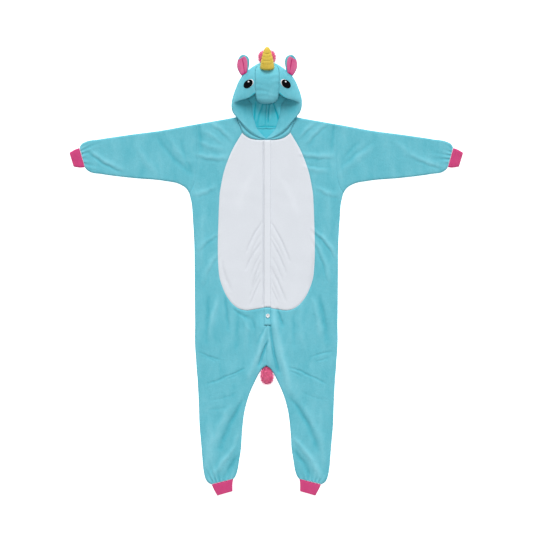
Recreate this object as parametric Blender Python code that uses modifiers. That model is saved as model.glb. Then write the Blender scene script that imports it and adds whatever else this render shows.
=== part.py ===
"""A unicorn onesie of plush fleece, laid flat on its back, with its front and its hood's face up.

+X is to the right seen from above, +Y runs to the hood and +Z is up. The tables hold millimetres. Each is
one side's, and mirrored() turns it over for the other. Names say left and right as seen from above.
"""

import math
from collections import namedtuple

import bmesh
import bpy
from mathutils import Vector
from mathutils.bvhtree import BVHTree

MM = 0.001
OBJECT_NAME = "unicorn_onesie"

# Cloth. Front and back lie on each other: two walls and the air between them.
FLEECE = 3.0
RIB = 2.6
FELT = 1.2
SEAM_GAP = 0.3
PATCH_GAP = 0.8
SEAM_HEIGHT = 5.0
LIP = 1.7
HALF_THICKNESS = 4.9
FOLD_EDGE_STEPS = (2.0, 7.0)

TURQUOISE = (0.150, 0.515, 0.620)
WHITE = (0.720, 0.750, 0.800)
FUCHSIA = (0.690, 0.070, 0.250)
PINK = (0.800, 0.110, 0.310)
YELLOW = (0.780, 0.560, 0.080)
BLACK = (0.006, 0.006, 0.007)

# The armhole seam, from the shoulder down to the underarm, and how far along it a row ends.
ARMHOLE = ((305, 637), (304, 440), (308, 400), (318, 366), (334, 338))
ARMHOLE_LENGTH = sum(math.dist(a, b) for a, b in zip(ARMHOLE, ARMHOLE[1:]))

ArmRow = namedtuple("ArmRow", "inner_x inner_y along")
Row = namedtuple("Row", "inner_x inner_y outer_x outer_y")

# Front: rows from the neck and the tummy's edge out to the armhole.
FRONT_ARM_ROWS = (
    ArmRow(129, 668, 0),
    ArmRow(128.6, 666, 2),
    ArmRow(127, 660.5, 7),
    ArmRow(116, 630, 40),
    ArmRow(104, 601, 77),
    ArmRow(149, 523, 157),
    ArmRow(168, 478, 197),
    ArmRow(184, 430, 237.2),
    ArmRow(194, 385, 272.6),
    ArmRow(199, 358, ARMHOLE_LENGTH - 7),
    ArmRow(200, 352, ARMHOLE_LENGTH - 2),
    ArmRow(201, 346, ARMHOLE_LENGTH),
)
# Rows from the tummy's edge, then the centre seam, out to the side.
FRONT_BODY_ROWS = (
    Row(205, 290, 325, 300),
    Row(208, 213, 318.5, 222),
    Row(210, 140, 313, 130),
    Row(208, 20, 311, -25),
    Row(203, -28, 310.5, -90),
    Row(190, -70, 310, -145),
    Row(168, -115, 309.5, -195),
    Row(135, -152, 309, -235),
    Row(118, -163, 309.5, -262),
    Row(91, -170, 310, -287),
    Row(45, -165, 309.5, -312),
    Row(0, -157, 308.5, -335),
    Row(0, -200, 307, -358),
    Row(0, -250, 305, -382),
    Row(0, -330, 303, -415),
    Row(0, -404, 300, -450),
    Row(0, -409, 299.5, -454),
    Row(0, -411, 299, -458),
)
# Rows across the leg, from its inner edge out to the side, down to the ankle.
LEG_ROWS = (
    Row(14, -419, 298, -477),
    Row(27, -436, 296.5, -502),
    Row(50, -480, 294, -550),
    Row(73, -532, 292, -602),
    Row(89, -584, 290.5, -652),
    Row(106, -714, 282, -757),
    Row(109, -766, 278, -805),
    Row(117, -818, 274.5, -848),
    Row(126, -868, 269, -881),
    Row(133, -888, 264, -899),
    Row(137, -894, 254, -915),
    Row(141, -899, 240, -924),
)
BACK_ARM_ROWS = (
    ArmRow(129, 668, 0),
    ArmRow(127.5, 666.3, 2),
    ArmRow(123, 661, 7),
    ArmRow(95, 638, 100),
    ArmRow(50, 624, 197),
    ArmRow(0, 622, 237.2),
    ArmRow(0, 575, 272.6),
    ArmRow(0, 540, ARMHOLE_LENGTH - 7),
    ArmRow(0, 520, ARMHOLE_LENGTH - 2),
    ArmRow(0, 500, ARMHOLE_LENGTH),
)
BACK_BODY_ROWS = (
    Row(0, 400, 323, 265),
    Row(0, 270, 315.5, 175),
    Row(0, 130, 311, 50),
    Row(0, 0, 310.5, -90),
    Row(0, -100, 309.5, -195),
    Row(0, -170, 309.5, -262),
    Row(0, -250, 308.5, -335),
    Row(0, -340, 303, -415),
    Row(0, -404, 300, -450),
    Row(0, -409, 299.5, -454),
    Row(0, -411, 299, -458),
)
FRONT_INTERIOR = (0.25, 0.5, 0.75)
BACK_SEAT_STEPS = (30.0, 62.0)
BACK_INTERIOR = (0.5,)

# Tummy: a row from the centre seam to each point of its edge, between the neckline and its lower edge.
TummyRow = namedtuple("TummyRow", "centre_y edge_x edge_y")
TUMMY_ROWS = (
    TummyRow(508, 149, 523),
    TummyRow(468, 168, 478),
    TummyRow(425, 184, 430),
    TummyRow(383, 194, 385),
    TummyRow(343, 201, 346),
    TummyRow(288, 205, 290),
    TummyRow(213, 208, 213),
    TummyRow(140, 210, 140),
    TummyRow(20, 208, 20),
    TummyRow(-30, 203, -28),
    TummyRow(-75, 190, -70),
    TummyRow(-120, 168, -115),
)
TUMMY_COLUMNS = (0, 0.164, 0.335, 0.668, 0.87, 1)
NECKLINE = ((0, 569.4), (17, 569.5), (35, 569.7), (69, 576), (90, 588), (104, 601))
TUMMY_HEM = ((0, -157), (22, -160.9), (45, -165), (91, -170), (118, -163), (135, -152))

# The band over the front opening, and the button near its lower end.
BAND_LEFT, BAND_RIGHT = -10.0, 20.0
BAND_WALL = 2.5
BAND_SPLIT, BAND_END = -157.5, -234.0
BUTTON_PLACE = (6.5, -193)
BUTTON_RADIUS = 8.5
BUTTON_HOLE_RADIUS, BUTTON_HOLE_OFFSET = 0.9, 1.9

# Sleeve: rings from the armhole to the wrist, by their upper and lower edges in plan.
SleeveRow = namedtuple("SleeveRow", "top_x top_y bottom_x bottom_y curve")
SLEEVE_ROWS = (
    SleeveRow(305.3, 637, 334.5, 338.3, 1.0),
    SleeveRow(335, 632, 346, 357, 0.8),
    SleeveRow(372, 625, 376, 377, 0.5),
    SleeveRow(442, 612, 440, 391, 0.15),
    SleeveRow(590, 592, 580, 404, 0.0),
    SleeveRow(725, 572, 714, 421, 0.0),
    SleeveRow(782, 562, 766, 431, 0.0),
    SleeveRow(802, 551, 778, 439, 0.0),
    SleeveRow(810, 537, 786, 449, 0.0),
)
# Cuffs: the first ring is the end that they are sewn to, drawn in, and the last is the free end.
CuffRow = namedtuple("CuffRow", "top_x top_y bottom_x bottom_y")
WRIST_CUFF = (CuffRow(811, 534.5, 787.5, 451), CuffRow(827, 529, 802, 449), CuffRow(854, 514, 835, 453))
ANKLE_CUFF = (CuffRow(237, -924.8, 143.2, -900.6), CuffRow(232, -937, 145.5, -915), CuffRow(213, -973, 146, -954))
CUFF_HALF_THICKNESS = 4.5

# Largest folds: soft ridges, or troughs where the rise is below nought, in the fronts and sleeves.
Fold = namedtuple("Fold", "start_x start_y end_x end_y rise half_width")
FOLDS = (
    Fold(-1, -300, -24, -425, -2.6, 12),
    Fold(16, -229, 45, -431, -2.8, 12),
    Fold(-19, -298, -71, -449, 2.6, 18),
    Fold(38, -215, 85, -449, 2.6, 18),
    Fold(-111, -587, -186, -766, -2.4, 20),
    Fold(-140, -599, -209, -737, 2.4, 24),
    Fold(-140, -772, -226, -882, 3.0, 22),
    Fold(120, -600, 205, -770, -2.4, 20),
    Fold(150, -590, 236, -755, 2.4, 24),
    Fold(120, -691, 224, -882, 3.0, 22),
    Fold(-222, -200, -246, -310, 2.4, 26),
    Fold(225, -20, 270, -150, 2.4, 24),
    Fold(-790, 506, -655, 441, 2.6, 16),
    Fold(-466, 571, -357, 447, 2.4, 22),
    Fold(360, 440, 480, 560, 2.2, 22),
)
FOLD_FADE = 25.0

# The tail lies flat under the seat, which rises over it, and is full where it comes out.
TailRow = namedtuple("TailRow", "y middle_x half_width height")
TAIL_ROWS = (
    TailRow(-235, 0, 10, 2.5),
    TailRow(-258, 0, 20, 5.0),
    TailRow(-300, 0, 23, 5.5),
    TailRow(-405, 0, 24, 6.0),
    TailRow(-420, 0.5, 23, 6.5),
    TailRow(-440, 2, 25, 13.0),
    TailRow(-462, 3, 29, 17.0),
    TailRow(-482, 3, 25, 15.0),
    TailRow(-498, 3, 12, 8.0),
)
SEAT_RISE = 7.0
SEAT_FLAT, SEAT_REACH = 28.0, 62.0
SEAT_HIGH, SEAT_LOW = -178.0, -250.0
SEAT_END = (-510.0, -430.0)

# Hood. A strip row stands on the front neckline, and a wrap row goes from the face round the edge and along
# the floor. Both start at the hood's rim, where the hem is turned in, or at the seam of the centre panel.
Strip = namedtuple("Strip", "rim_x rim_y rim_z neck_x neck_y neck_z bulge")
Wrap = namedtuple("Wrap", "rim_x rim_y rim_z edge_x edge_y edge_z back_x back_y")
Hem = namedtuple("Hem", "x y z")
NECK_TOP = SEAM_HEIGHT + HALF_THICKNESS
HOOD_STRIPS = (
    Strip(0.4, 573.4, 12.5, 0.2, 569.7, NECK_TOP, 0.3),
    Strip(14, 577, 13.2, 17, 569.9, NECK_TOP, 0.6),
    Strip(30, 584, 15, 35, 570.0, NECK_TOP, 1),
    Strip(53, 600, 17.5, 69, 576.3, NECK_TOP, 2),
    Strip(72, 614.5, 20, 90, 588.3, NECK_TOP, 2),
    Strip(86, 627, 22, 104, 601.3, NECK_TOP, 2),
    Strip(101, 641, 24.5, 115.8, 630.3, NECK_TOP, 3),
    Strip(117, 657, 27, 126.8, 660.8, NECK_TOP, 3),
    Strip(126, 666.5, 28.5, 129.4, 669.6, 5, 5),
)
HOOD_WRAPS = (
    Wrap(136, 681, 30, 142, 683, 17, 112, 653),
    Wrap(144, 699, 32, 150, 700, 18, 80, 633.3),
    Wrap(147, 714, 34, 153, 717, 19, 45, 624.3),
    Wrap(140, 727, 36, 152.5, 734, 20, 0.15, 622.3),
    Wrap(126, 734, 42, 151, 746, 21, 0.15, 660),
    Wrap(104, 741, 49, 147, 762, 21, 0.15, 700),
    Wrap(79, 748, 55, 142, 778, 21, 0.15, 740),
    Wrap(52.3, 767, 60, 135, 796, 22, 0.15, 775),
    Wrap(52.3, 790, 62.5, 124, 822, 22, 0.15, 800),
    Wrap(52.3, 815, 64, 111, 842, 23, 0.15, 825),
    Wrap(52.3, 840, 62.5, 96, 859, 23, 0.15, 848),
    Wrap(52.3, 862, 56, 79, 874, 23, 0.15, 866),
    Wrap(45.3, 884.3, 44, 57, 890, 22, 0.15, 878),
    Wrap(26.1, 896.3, 37, 36, 901, 21, 0.15, 885),
    Wrap(0.5, 899.3, 35, 0.5, 905, 20, 0.15, 888),
)
HEMS = (
    Hem(1.2, 577.5, 11),
    Hem(12, 586, 9.5),
    Hem(22, 596, 8),
    Hem(34, 610, 7),
    Hem(41.5, 620.5, 6.7),
    Hem(46, 634, 6.7),
    Hem(50.5, 651, 6.7),
    Hem(55.5, 668, 6.7),
    Hem(58.5, 680, 6.7),
    Hem(60.5, 697, 6.7),
    Hem(62, 712, 6.7),
    Hem(66, 727, 7.5),
    Hem(80, 742, 14),
    Hem(90, 755, 28),
    Hem(88, 764, 39),
    Hem(74, 771, 47),
    Hem(56, 788, 53),
)
TOP_STEPS = (0.0, 0.3, 0.58, 0.8, 0.93, 1.0)
EDGE_STEPS = ((1.5, 0.5), (5.0, 0.17), (12.0, 0.0))

CentreRow = namedtuple("CentreRow", "y half_width side_z crown sag")
CENTRE_ROWS = (
    CentreRow(896, 26, 37, 0.5, 3),
    CentreRow(884, 45, 44, 3, 0),
    CentreRow(862, 52, 56, 4, 0),
    CentreRow(840, 52, 62.5, 4, 0),
    CentreRow(815, 52, 64, 4, 0),
    CentreRow(790, 52, 62.5, 4, 0),
    CentreRow(775, 52, 61, 4, 0),
)
CENTRE_COLUMNS = (-1, -0.65, -0.3, 0, 0.3, 0.65, 1)
SnoutRow = namedtuple("SnoutRow", "y half_width middle_z half_height")
SNOUT_ROWS = (
    SnoutRow(774.7, 51, 55.5, 9.5),
    SnoutRow(765, 49.5, 52.5, 12.5),
    SnoutRow(752, 48.5, 49.5, 15),
    SnoutRow(740, 45, 47, 15),
    SnoutRow(731, 36, 45, 13),
    SnoutRow(726.5, 24, 44, 9.5),
    SnoutRow(725, 10, 43.5, 5),
)

# Horn: a stuffed cone drawn in by rings of stitches, leaning up from the forehead.
HORN_FOOT = Vector((0, 882.5, 53))
HORN_LEAN = math.radians(25)
HORN_BASE_Y, HORN_BASE_HALF_LENGTH, HORN_BASE_RADIUS = 880.5, 10, 31
HornRow = namedtuple("HornRow", "along radius")
HORN_ROWS = (
    HornRow(13, 28.5),
    HornRow(22.5, 27),
    HornRow(31, 27.5),
    HornRow(38.5, 23.5),
    HornRow(47, 23.5),
    HornRow(54, 19.5),
    HornRow(63, 19.5),
    HornRow(72, 14.5),
    HornRow(84, 12.5),
    HornRow(94, 7.5),
    HornRow(98, 3),
)
HORN_SIDES = 12
HORN_TIP = 1.8
ManeRow = namedtuple("ManeRow", "y half_width low high")
MANE_ROWS = (
    ManeRow(906.2, 26, 6, 27),
    ManeRow(914, 36, 1, 30),
    ManeRow(930, 37.5, 1, 38),
    ManeRow(946, 32, 4, 44),
    ManeRow(956, 16, 14, 40),
)

# Ears: sections across a padded leaf, from its foot on the hood to its tip. The inner layer lies outboard.
EarRow = namedtuple("EarRow", "x y z half_width half_height")
EAR_ROWS = (
    EarRow(92, 864, 36, 19, 5.5),
    EarRow(97, 879, 40, 23.5, 6.5),
    EarRow(100, 897, 45, 25.5, 6.5),
    EarRow(103, 914, 50, 22, 6),
    EarRow(105.5, 927, 54, 13.5, 5),
    EarRow(107, 934, 56, 5, 3),
)
EAR_ACROSS = Vector((0.80, -0.55, -0.10))
EAR_DISH = 2.0
EAR_SHARES = (-1, -0.7, -0.35, 0.0, 0.2, 0.5, 0.8, 0.94, 1)
INNER_EAR = slice(2, 8)
INNER_EAR_WALL = 2.2

EYE_PLACE = (82, 813)
EYE_TILT = math.radians(-41)
EyePatch = namedtuple("EyePatch", "name half_length half_width offset_x offset_y level colour")
EYE_PATCHES = (
    EyePatch("eye_rim", 28, 20.5, 0, 0, 0, WHITE),
    EyePatch("eye", 23.5, 15.5, 1, -1, 1, BLACK),
    EyePatch("eye_glint", 4.2, 3.6, -1.5, 9, 2, WHITE),
)
EYE_SIDES = 12
EYE_LAYER_GAP = 0.6


def clear_scene():
    for obj in list(bpy.data.objects):
        bpy.data.objects.remove(obj, do_unlink=True)


def cloth_material(name, colour, roughness):
    material = bpy.data.materials.new(name)
    material.use_nodes = True
    shader = material.node_tree.nodes["Principled BSDF"]
    shader.inputs["Base Color"].default_value = (*colour, 1)
    shader.inputs["Roughness"].default_value = roughness
    shader.inputs["Metallic"].default_value = 0
    return material


def place(name, mesh_data, colour, roughness, collection):
    """Makes the object, with its own material, from a bmesh in millimetres."""
    bmesh.ops.scale(mesh_data, vec=(MM, MM, MM), verts=mesh_data.verts)
    mesh = bpy.data.meshes.new(name)
    mesh_data.to_mesh(mesh)
    mesh_data.free()
    mesh.materials.append(cloth_material(name, colour, roughness))
    mesh.shade_smooth()
    obj = bpy.data.objects.new(name, mesh)
    collection.objects.link(obj)
    return obj


def thicken(obj, wall, outwards=False):
    solidify = obj.modifiers.new("Wall", "SOLIDIFY")
    solidify.thickness = wall * MM
    solidify.offset = 1 if outwards else -1
    return solidify


def mirrored(rows, side):
    """Rows of points turned over to the side at -X. Each row runs the other way, so faces still look out."""
    if side > 0:
        return rows
    return [[Vector((-p.x, p.y, p.z)) for p in reversed(row)] for row in rows]


def polyline_distance(x, y, points):
    spot = Vector((x, y))
    nearest = math.inf
    for a, b in zip(points, points[1:]):
        start, run = Vector(a), Vector(b) - Vector(a)
        share = max(0, min(1, (spot - start).dot(run) / run.length_squared))
        nearest = min(nearest, (start + run * share - spot).length)
    return nearest


def armhole_point(along):
    for a, b in zip(ARMHOLE, ARMHOLE[1:]):
        length = math.dist(a, b)
        if along <= length:
            return Vector(a).lerp(Vector(b), along / length)
        along -= length
    return Vector(ARMHOLE[-1])


def smooth_step(value, start, end):
    share = max(0, min(1, (value - start) / (end - start)))
    return share * share * (3 - 2 * share)


SHOULDER = ((129, 668), (305, 637))
SIDE = tuple((row.outer_x, row.outer_y) for row in FRONT_BODY_ROWS + LEG_ROWS)
SIDE = (ARMHOLE[-1],) + SIDE
INNER_LEG = ((0, -411),) + tuple((row.inner_x, row.inner_y) for row in LEG_ROWS)


def edge_distance(x, y):
    """How far a place in plan is from the shoulder, the side or the inner leg, where front meets back."""
    return min(polyline_distance(abs(x), y, line) for line in (SHOULDER, SIDE, INNER_LEG))


def rounding(distance, full):
    """Height over or under the side seam at this distance from the edge: a lip, a shoulder, then flat."""
    return LIP + (full - LIP) * (1 - (1 - min(1, distance / FOLD_EDGE_STEPS[1])) ** 2.6)


def seat_rise(x, y):
    across = 1 - smooth_step(abs(x), SEAT_FLAT, SEAT_REACH)
    along = (1 - smooth_step(y, SEAT_LOW, SEAT_HIGH)) * smooth_step(y, *SEAT_END)
    return SEAT_RISE * across * along


def fold_rise(x, y):
    rise = 0
    for fold in FOLDS:
        line = ((fold.start_x, fold.start_y), (fold.end_x, fold.end_y))
        rise += fold.rise * math.exp(-((polyline_distance(x, y, line) / fold.half_width) ** 2))
    return rise


def front_height(x, y):
    distance = edge_distance(x, y)
    fade = min(1, distance / FOLD_FADE)
    return SEAM_HEIGHT + seat_rise(x, y) + rounding(distance, HALF_THICKNESS) + fade * fold_rise(x, y)


def back_height(x, y):
    return SEAM_HEIGHT + seat_rise(x, y) - rounding(edge_distance(x, y), SEAM_HEIGHT)


def stations(length, inner_steps, interior, outer_steps):
    """Distances along a row: close together at both ends and spread between."""
    low, high = inner_steps[-1], length - outer_steps[-1]
    spread = [low + (high - low) * share for share in interior]
    return [0, *inner_steps, *spread, *(length - step for step in reversed(outer_steps)), length]


def plan_row(inner, outer, inner_steps, interior, height, side):
    inner, outer = Vector(inner), Vector(outer)
    length = (outer - inner).length
    points = []
    for distance in stations(length, inner_steps, interior, FOLD_EDGE_STEPS):
        spot = inner.lerp(outer, distance / length)
        points.append(Vector((spot.x, spot.y, height(side * spot.x, spot.y))))
    return points


def pull_in(rows, sides, gap=SEAM_GAP / 2):
    """Draws the named sides of a grid in along its own lines, which leaves the gap of a seam."""
    lines = {
        "first": (lambda k: (0, k), lambda k: (1, k), len(rows[0])),
        "last": (lambda k: (-1, k), lambda k: (-2, k), len(rows[0])),
        "start": (lambda k: (k, 0), lambda k: (k, 1), len(rows)),
        "end": (lambda k: (k, -1), lambda k: (k, -2), len(rows)),
    }
    for name in sides:
        edge, inner, count = lines[name]
        line = [rows[edge(k)[0]][edge(k)[1]].copy() for k in range(count)]
        for k in range(count):
            tangent = (line[min(k + 1, count - 1)] - line[max(k - 1, 0)]).normalized()
            neighbour = rows[inner(k)[0]][inner(k)[1]]
            inward = (neighbour - line[k]).normalized()
            sine = max(0.3, tangent.cross(inward).length)
            row, column = edge(k)
            rows[row][column] = line[k] + inward * gap / sine
    return rows


def grid(mesh_data, rows, closed=False):
    """Quads between rows of points. Returns the vertices, row by row."""
    lines = [[mesh_data.verts.new(point) for point in row] for row in rows]
    for low, high in zip(lines, lines[1:]):
        pairs = list(zip(low, high))
        for (a, b), (d, c) in zip(pairs, pairs[1:] + pairs[:1] if closed else pairs[1:]):
            mesh_data.faces.new((a, b, c, d))
    return lines


def close_end(mesh_data, ring, centre, flip):
    """A fan over the end of a closed loft."""
    tip = mesh_data.verts.new(centre)
    for a, b in zip(ring, ring[1:] + ring[:1]):
        mesh_data.faces.new((a, b, tip) if flip else (b, a, tip))


def face_out(mesh_data):
    bmesh.ops.recalc_face_normals(mesh_data, faces=mesh_data.faces)


def add_lips(mesh_data, edges, drop):
    """A short upright wall along the edges where front and back meet."""
    made = bmesh.ops.extrude_edge_only(mesh_data, edges=edges)["geom"]
    lowered = [item for item in made if isinstance(item, bmesh.types.BMVert)]
    bmesh.ops.translate(mesh_data, vec=(0, 0, drop), verts=lowered)


def edges_along(vertices):
    found = []
    for a, b in zip(vertices, vertices[1:]):
        found += [edge for edge in a.link_edges if edge.other_vert(a) is b]
    return found


def panel_rows(arm_rows, body_rows, steps_for, interior, height, side):
    rows = []
    for row in arm_rows:
        inner = (row.inner_x, row.inner_y)
        rows.append(plan_row(inner, armhole_point(row.along), steps_for(row), interior, height, side))
    for row in body_rows:
        inner, outer = (row.inner_x, row.inner_y), (row.outer_x, row.outer_y)
        rows.append(plan_row(inner, outer, steps_for(row), interior, height, side))
    return rows


def add_front(name, side, collection):
    rows = panel_rows(
        FRONT_ARM_ROWS,
        FRONT_BODY_ROWS + LEG_ROWS,
        lambda row: FOLD_EDGE_STEPS,
        FRONT_INTERIOR,
        front_height,
        side,
    )
    pull_in(rows, ("first", "last", "start", "end"))
    mesh_data = bmesh.new()
    lines = grid(mesh_data, mirrored(rows, side))
    if side < 0:
        lines = [line[::-1] for line in lines]
    underarm = len(FRONT_ARM_ROWS) - 1
    crotch = len(FRONT_ARM_ROWS) + len(FRONT_BODY_ROWS) - 1
    edges = edges_along(lines[0])
    edges += edges_along([line[-1] for line in lines[underarm:]])
    edges += edges_along([line[0] for line in lines[crotch:]])
    add_lips(mesh_data, edges, SEAM_GAP / 2 - LIP)
    turn_up(mesh_data, up=True)
    thicken(place(name, mesh_data, TURQUOISE, 0.85, collection), FLEECE)


def turn_up(mesh_data, up):
    """Makes the faces of an open panel agree, with the widest of them looking up or down."""
    face_out(mesh_data)
    widest = max(mesh_data.faces, key=lambda face: face.calc_area())
    widest.normal_update()
    if (widest.normal.z > 0) != up:
        bmesh.ops.reverse_faces(mesh_data, faces=mesh_data.faces)


def add_back(collection):
    rows = panel_rows(
        BACK_ARM_ROWS,
        BACK_BODY_ROWS + LEG_ROWS,
        lambda row: BACK_SEAT_STEPS if row.inner_x == 0 else FOLD_EDGE_STEPS,
        BACK_INTERIOR,
        back_height,
        1,
    )
    middle = [row[0].copy() for row in rows]
    pull_in(rows, ("first", "last", "start", "end"))
    for row, point in zip(rows, middle):
        if point.x == 0:
            row[0] = Vector((0, row[0].y, point.z))
    mesh_data = bmesh.new()
    lines = grid(mesh_data, rows)
    underarm = len(BACK_ARM_ROWS) - 1
    crotch = len(BACK_ARM_ROWS) + len(BACK_BODY_ROWS) - 1
    edges = edges_along(lines[0])
    edges += edges_along([line[-1] for line in lines[underarm:]])
    edges += edges_along([line[0] for line in lines[crotch:]])
    add_lips(mesh_data, edges, LIP - SEAM_GAP / 2)
    turn_up(mesh_data, up=False)
    back = place("back", mesh_data, TURQUOISE, 0.85, collection)
    mirror = back.modifiers.new("Other half", "MIRROR")
    mirror.merge_threshold = 0.0001
    thicken(back, FLEECE)


def add_tummy(name, side, collection):
    rows = [[Vector((x, y, front_height(side * x, y))) for x, y in NECKLINE]]
    for row in TUMMY_ROWS:
        points = []
        for share in TUMMY_COLUMNS:
            x, y = row.edge_x * share, row.centre_y + (row.edge_y - row.centre_y) * share
            points.append(Vector((x, y, front_height(side * x, y))))
        rows.append(points)
    rows.append([Vector((x, y, front_height(side * x, y))) for x, y in TUMMY_HEM])
    pull_in(rows, ("first", "last", "start", "end"))
    mesh_data = bmesh.new()
    grid(mesh_data, mirrored(rows, side))
    turn_up(mesh_data, up=True)
    return thicken(place(name, mesh_data, WHITE, 0.85, collection), FLEECE)


def surface_over(names):
    """The outer surfaces of these panels as one tree, in metres, for what lies on them."""
    bpy.context.view_layer.update()
    points, faces = [], []
    for name in names:
        mesh = bpy.data.objects[name].data
        faces += [[len(points) + index for index in polygon.vertices] for polygon in mesh.polygons]
        points += [vertex.co.copy() for vertex in mesh.vertices]
    return BVHTree.FromPolygons(points, faces)


def laid_on(tree, x, y, lift):
    """The point over (x, y) that lies this far off the panel, in millimetres."""
    hit, normal, _, _ = tree.ray_cast(Vector((x, y, 400)) * MM, Vector((0, 0, -1)))
    normal = normal if normal.z > 0 else -normal
    return hit / MM + normal * lift


def add_band(name, top, bottom, colour, tree, collection):
    count = max(2, round((top - bottom) / 45))
    rows = []
    for step in range(count + 1):
        y = top + (bottom - top) * step / count
        rows.append([laid_on(tree, x, y, PATCH_GAP) for x in (BAND_LEFT, 5, BAND_RIGHT)])
    mesh_data = bmesh.new()
    grid(mesh_data, rows)
    turn_up(mesh_data, up=True)
    thicken(place(name, mesh_data, colour, 0.85, collection), BAND_WALL, outwards=True)


def add_button(tree, collection, cutters):
    foot = laid_on(tree, *BUTTON_PLACE, PATCH_GAP + BAND_WALL + SEAM_GAP)
    profile = ((0, 1.6), (5.6, 1.6), (6.4, 2.6), (7.6, 2.8), (BUTTON_RADIUS, 1.6), (7.6, 0.3), (5, 0), (0, 0))
    mesh_data = bmesh.new()
    points = [mesh_data.verts.new((x * MM, 0, z * MM)) for x, z in profile]
    for a, b in zip(points, points[1:]):
        mesh_data.edges.new((a, b))
    mesh = bpy.data.meshes.new("button")
    mesh_data.to_mesh(mesh)
    mesh_data.free()
    mesh.materials.append(cloth_material("button", WHITE, 0.3))
    button = bpy.data.objects.new("button", mesh)
    button.location = Vector(foot) * MM
    collection.objects.link(button)
    screw = button.modifiers.new("Turned", "SCREW")
    screw.steps = screw.render_steps = 16
    screw.use_merge_vertices = True
    screw.merge_threshold = 0.0001
    for corner in range(4):
        angle = math.radians(45 + 90 * corner)
        bpy.ops.mesh.primitive_cylinder_add(vertices=8, radius=BUTTON_HOLE_RADIUS * MM, depth=12 * MM)
        cutter = bpy.context.object
        cutter.name = f"button_hole_{corner}"
        offset = Vector((math.cos(angle), math.sin(angle), 0)) * BUTTON_HOLE_OFFSET
        cutter.location = (Vector(foot) + offset) * MM
        cutter.hide_render = True
        cutter.display_type = "WIRE"
        for home in list(cutter.users_collection):
            home.objects.unlink(cutter)
        cutters.objects.link(cutter)
        hole = button.modifiers.new(f"Hole {corner}", "BOOLEAN")
        hole.operation = "DIFFERENCE"
        hole.object = cutter


def tube_ring(top, bottom, bends, full, side, folded=True):
    """A flattened ring: over the front from top edge to bottom edge, and back along the floor."""
    top, bottom = Vector(top), Vector(bottom)
    length = (bottom - top).length
    ring = []
    for under in (False, True):
        for share, step in reversed(bends) if under else bends:
            distance = share * length + step
            spot = top.lerp(bottom, distance / length)
            edge = min(distance, length - distance)
            if under:
                height = SEAM_HEIGHT - rounding(edge, SEAM_HEIGHT)
            else:
                height = SEAM_HEIGHT + rounding(edge, full)
                height += min(1, edge / FOLD_FADE) * fold_rise(side * spot.x, spot.y) if folded else 0
            ring.append(Vector((spot.x, spot.y, height)))
    return ring


RING_BENDS = (
    (0, 0),
    (0, FOLD_EDGE_STEPS[0]),
    (0, FOLD_EDGE_STEPS[1]),
    (0.33, 0),
    (0.646, 0),
    (0.778, 0),
    (0.894, 0),
    (1, -FOLD_EDGE_STEPS[1]),
    (1, -FOLD_EDGE_STEPS[0]),
    (1, 0),
)


def add_sleeve(name, side, collection):
    rings = []
    chord_top, chord_bottom = Vector(ARMHOLE[0]), Vector(ARMHOLE[-1])
    for row in SLEEVE_ROWS:
        ring = tube_ring((row.top_x, row.top_y), (row.bottom_x, row.bottom_y), RING_BENDS, HALF_THICKNESS, side)
        length = math.dist((row.top_x, row.top_y), (row.bottom_x, row.bottom_y))
        bends = [(share + step / length) for share, step in RING_BENDS]
        for point, share in zip(ring, bends + bends[::-1]):
            away = armhole_point(share * ARMHOLE_LENGTH) - chord_top.lerp(chord_bottom, share)
            point.x += away.x * row.curve
            point.y += away.y * row.curve
        rings.append(ring)
    add_tube(name, rings, side, TURQUOISE, FLEECE, collection)


def add_tube(name, rings, side, colour, wall, collection):
    if side < 0:
        rings = [[Vector((-p.x, p.y, p.z)) for p in ring] for ring in rings]
    mesh_data = bmesh.new()
    grid(mesh_data, rings, closed=True)
    face_out(mesh_data)
    floor = min(mesh_data.faces, key=lambda face: face.calc_center_median().z)
    if floor.normal.z > 0:
        bmesh.ops.reverse_faces(mesh_data, faces=mesh_data.faces)
    thicken(place(name, mesh_data, colour, 0.85, collection), wall)


CUFF_BENDS = ((0, 0), (0, 2), (0, 7), (0.5, 0), (1, -7), (1, -2), (1, 0))


def add_cuff(name, table, side, collection):
    rings = []
    for row in table:
        top, bottom = (row.top_x, row.top_y), (row.bottom_x, row.bottom_y)
        rings.append(tube_ring(top, bottom, CUFF_BENDS, CUFF_HALF_THICKNESS, side, folded=False))
    add_tube(name, rings, side, FUCHSIA, RIB, collection)


def strip_row(row):
    rim, neck = Vector(row[0:3]), Vector(row[3:6])
    outward = Vector((neck.x - rim.x, neck.y - rim.y, 0)).normalized()
    control = rim.lerp(neck, 0.5) + (Vector((0, 0, 1)) + outward) * row.bulge
    count = len(TOP_STEPS) + len(EDGE_STEPS) + 1
    points = []
    for step in range(count + 1):
        share = step / count
        points.append(rim.lerp(control, share).lerp(control.lerp(neck, share), share))
    return points


def wrap_row(row):
    rim, edge = Vector(row[0:3]), Vector(row[3:6])
    back = Vector((row.back_x, row.back_y, 0))
    points = []
    for share in TOP_STEPS:
        spot = rim.lerp(edge, share)
        spot.z = edge.z + (rim.z - edge.z) * (1 - share**2.2) ** 0.6
        points.append(spot)
    run = Vector((back.x - edge.x, back.y - edge.y, 0))
    for step, height in EDGE_STEPS:
        spot = edge + run.normalized() * min(step, run.length * 0.8)
        points.append(Vector((spot.x, spot.y, edge.z * height)))
    points.append(points[-1].lerp(back, 0.5))
    points.append(back)
    return points


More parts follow.
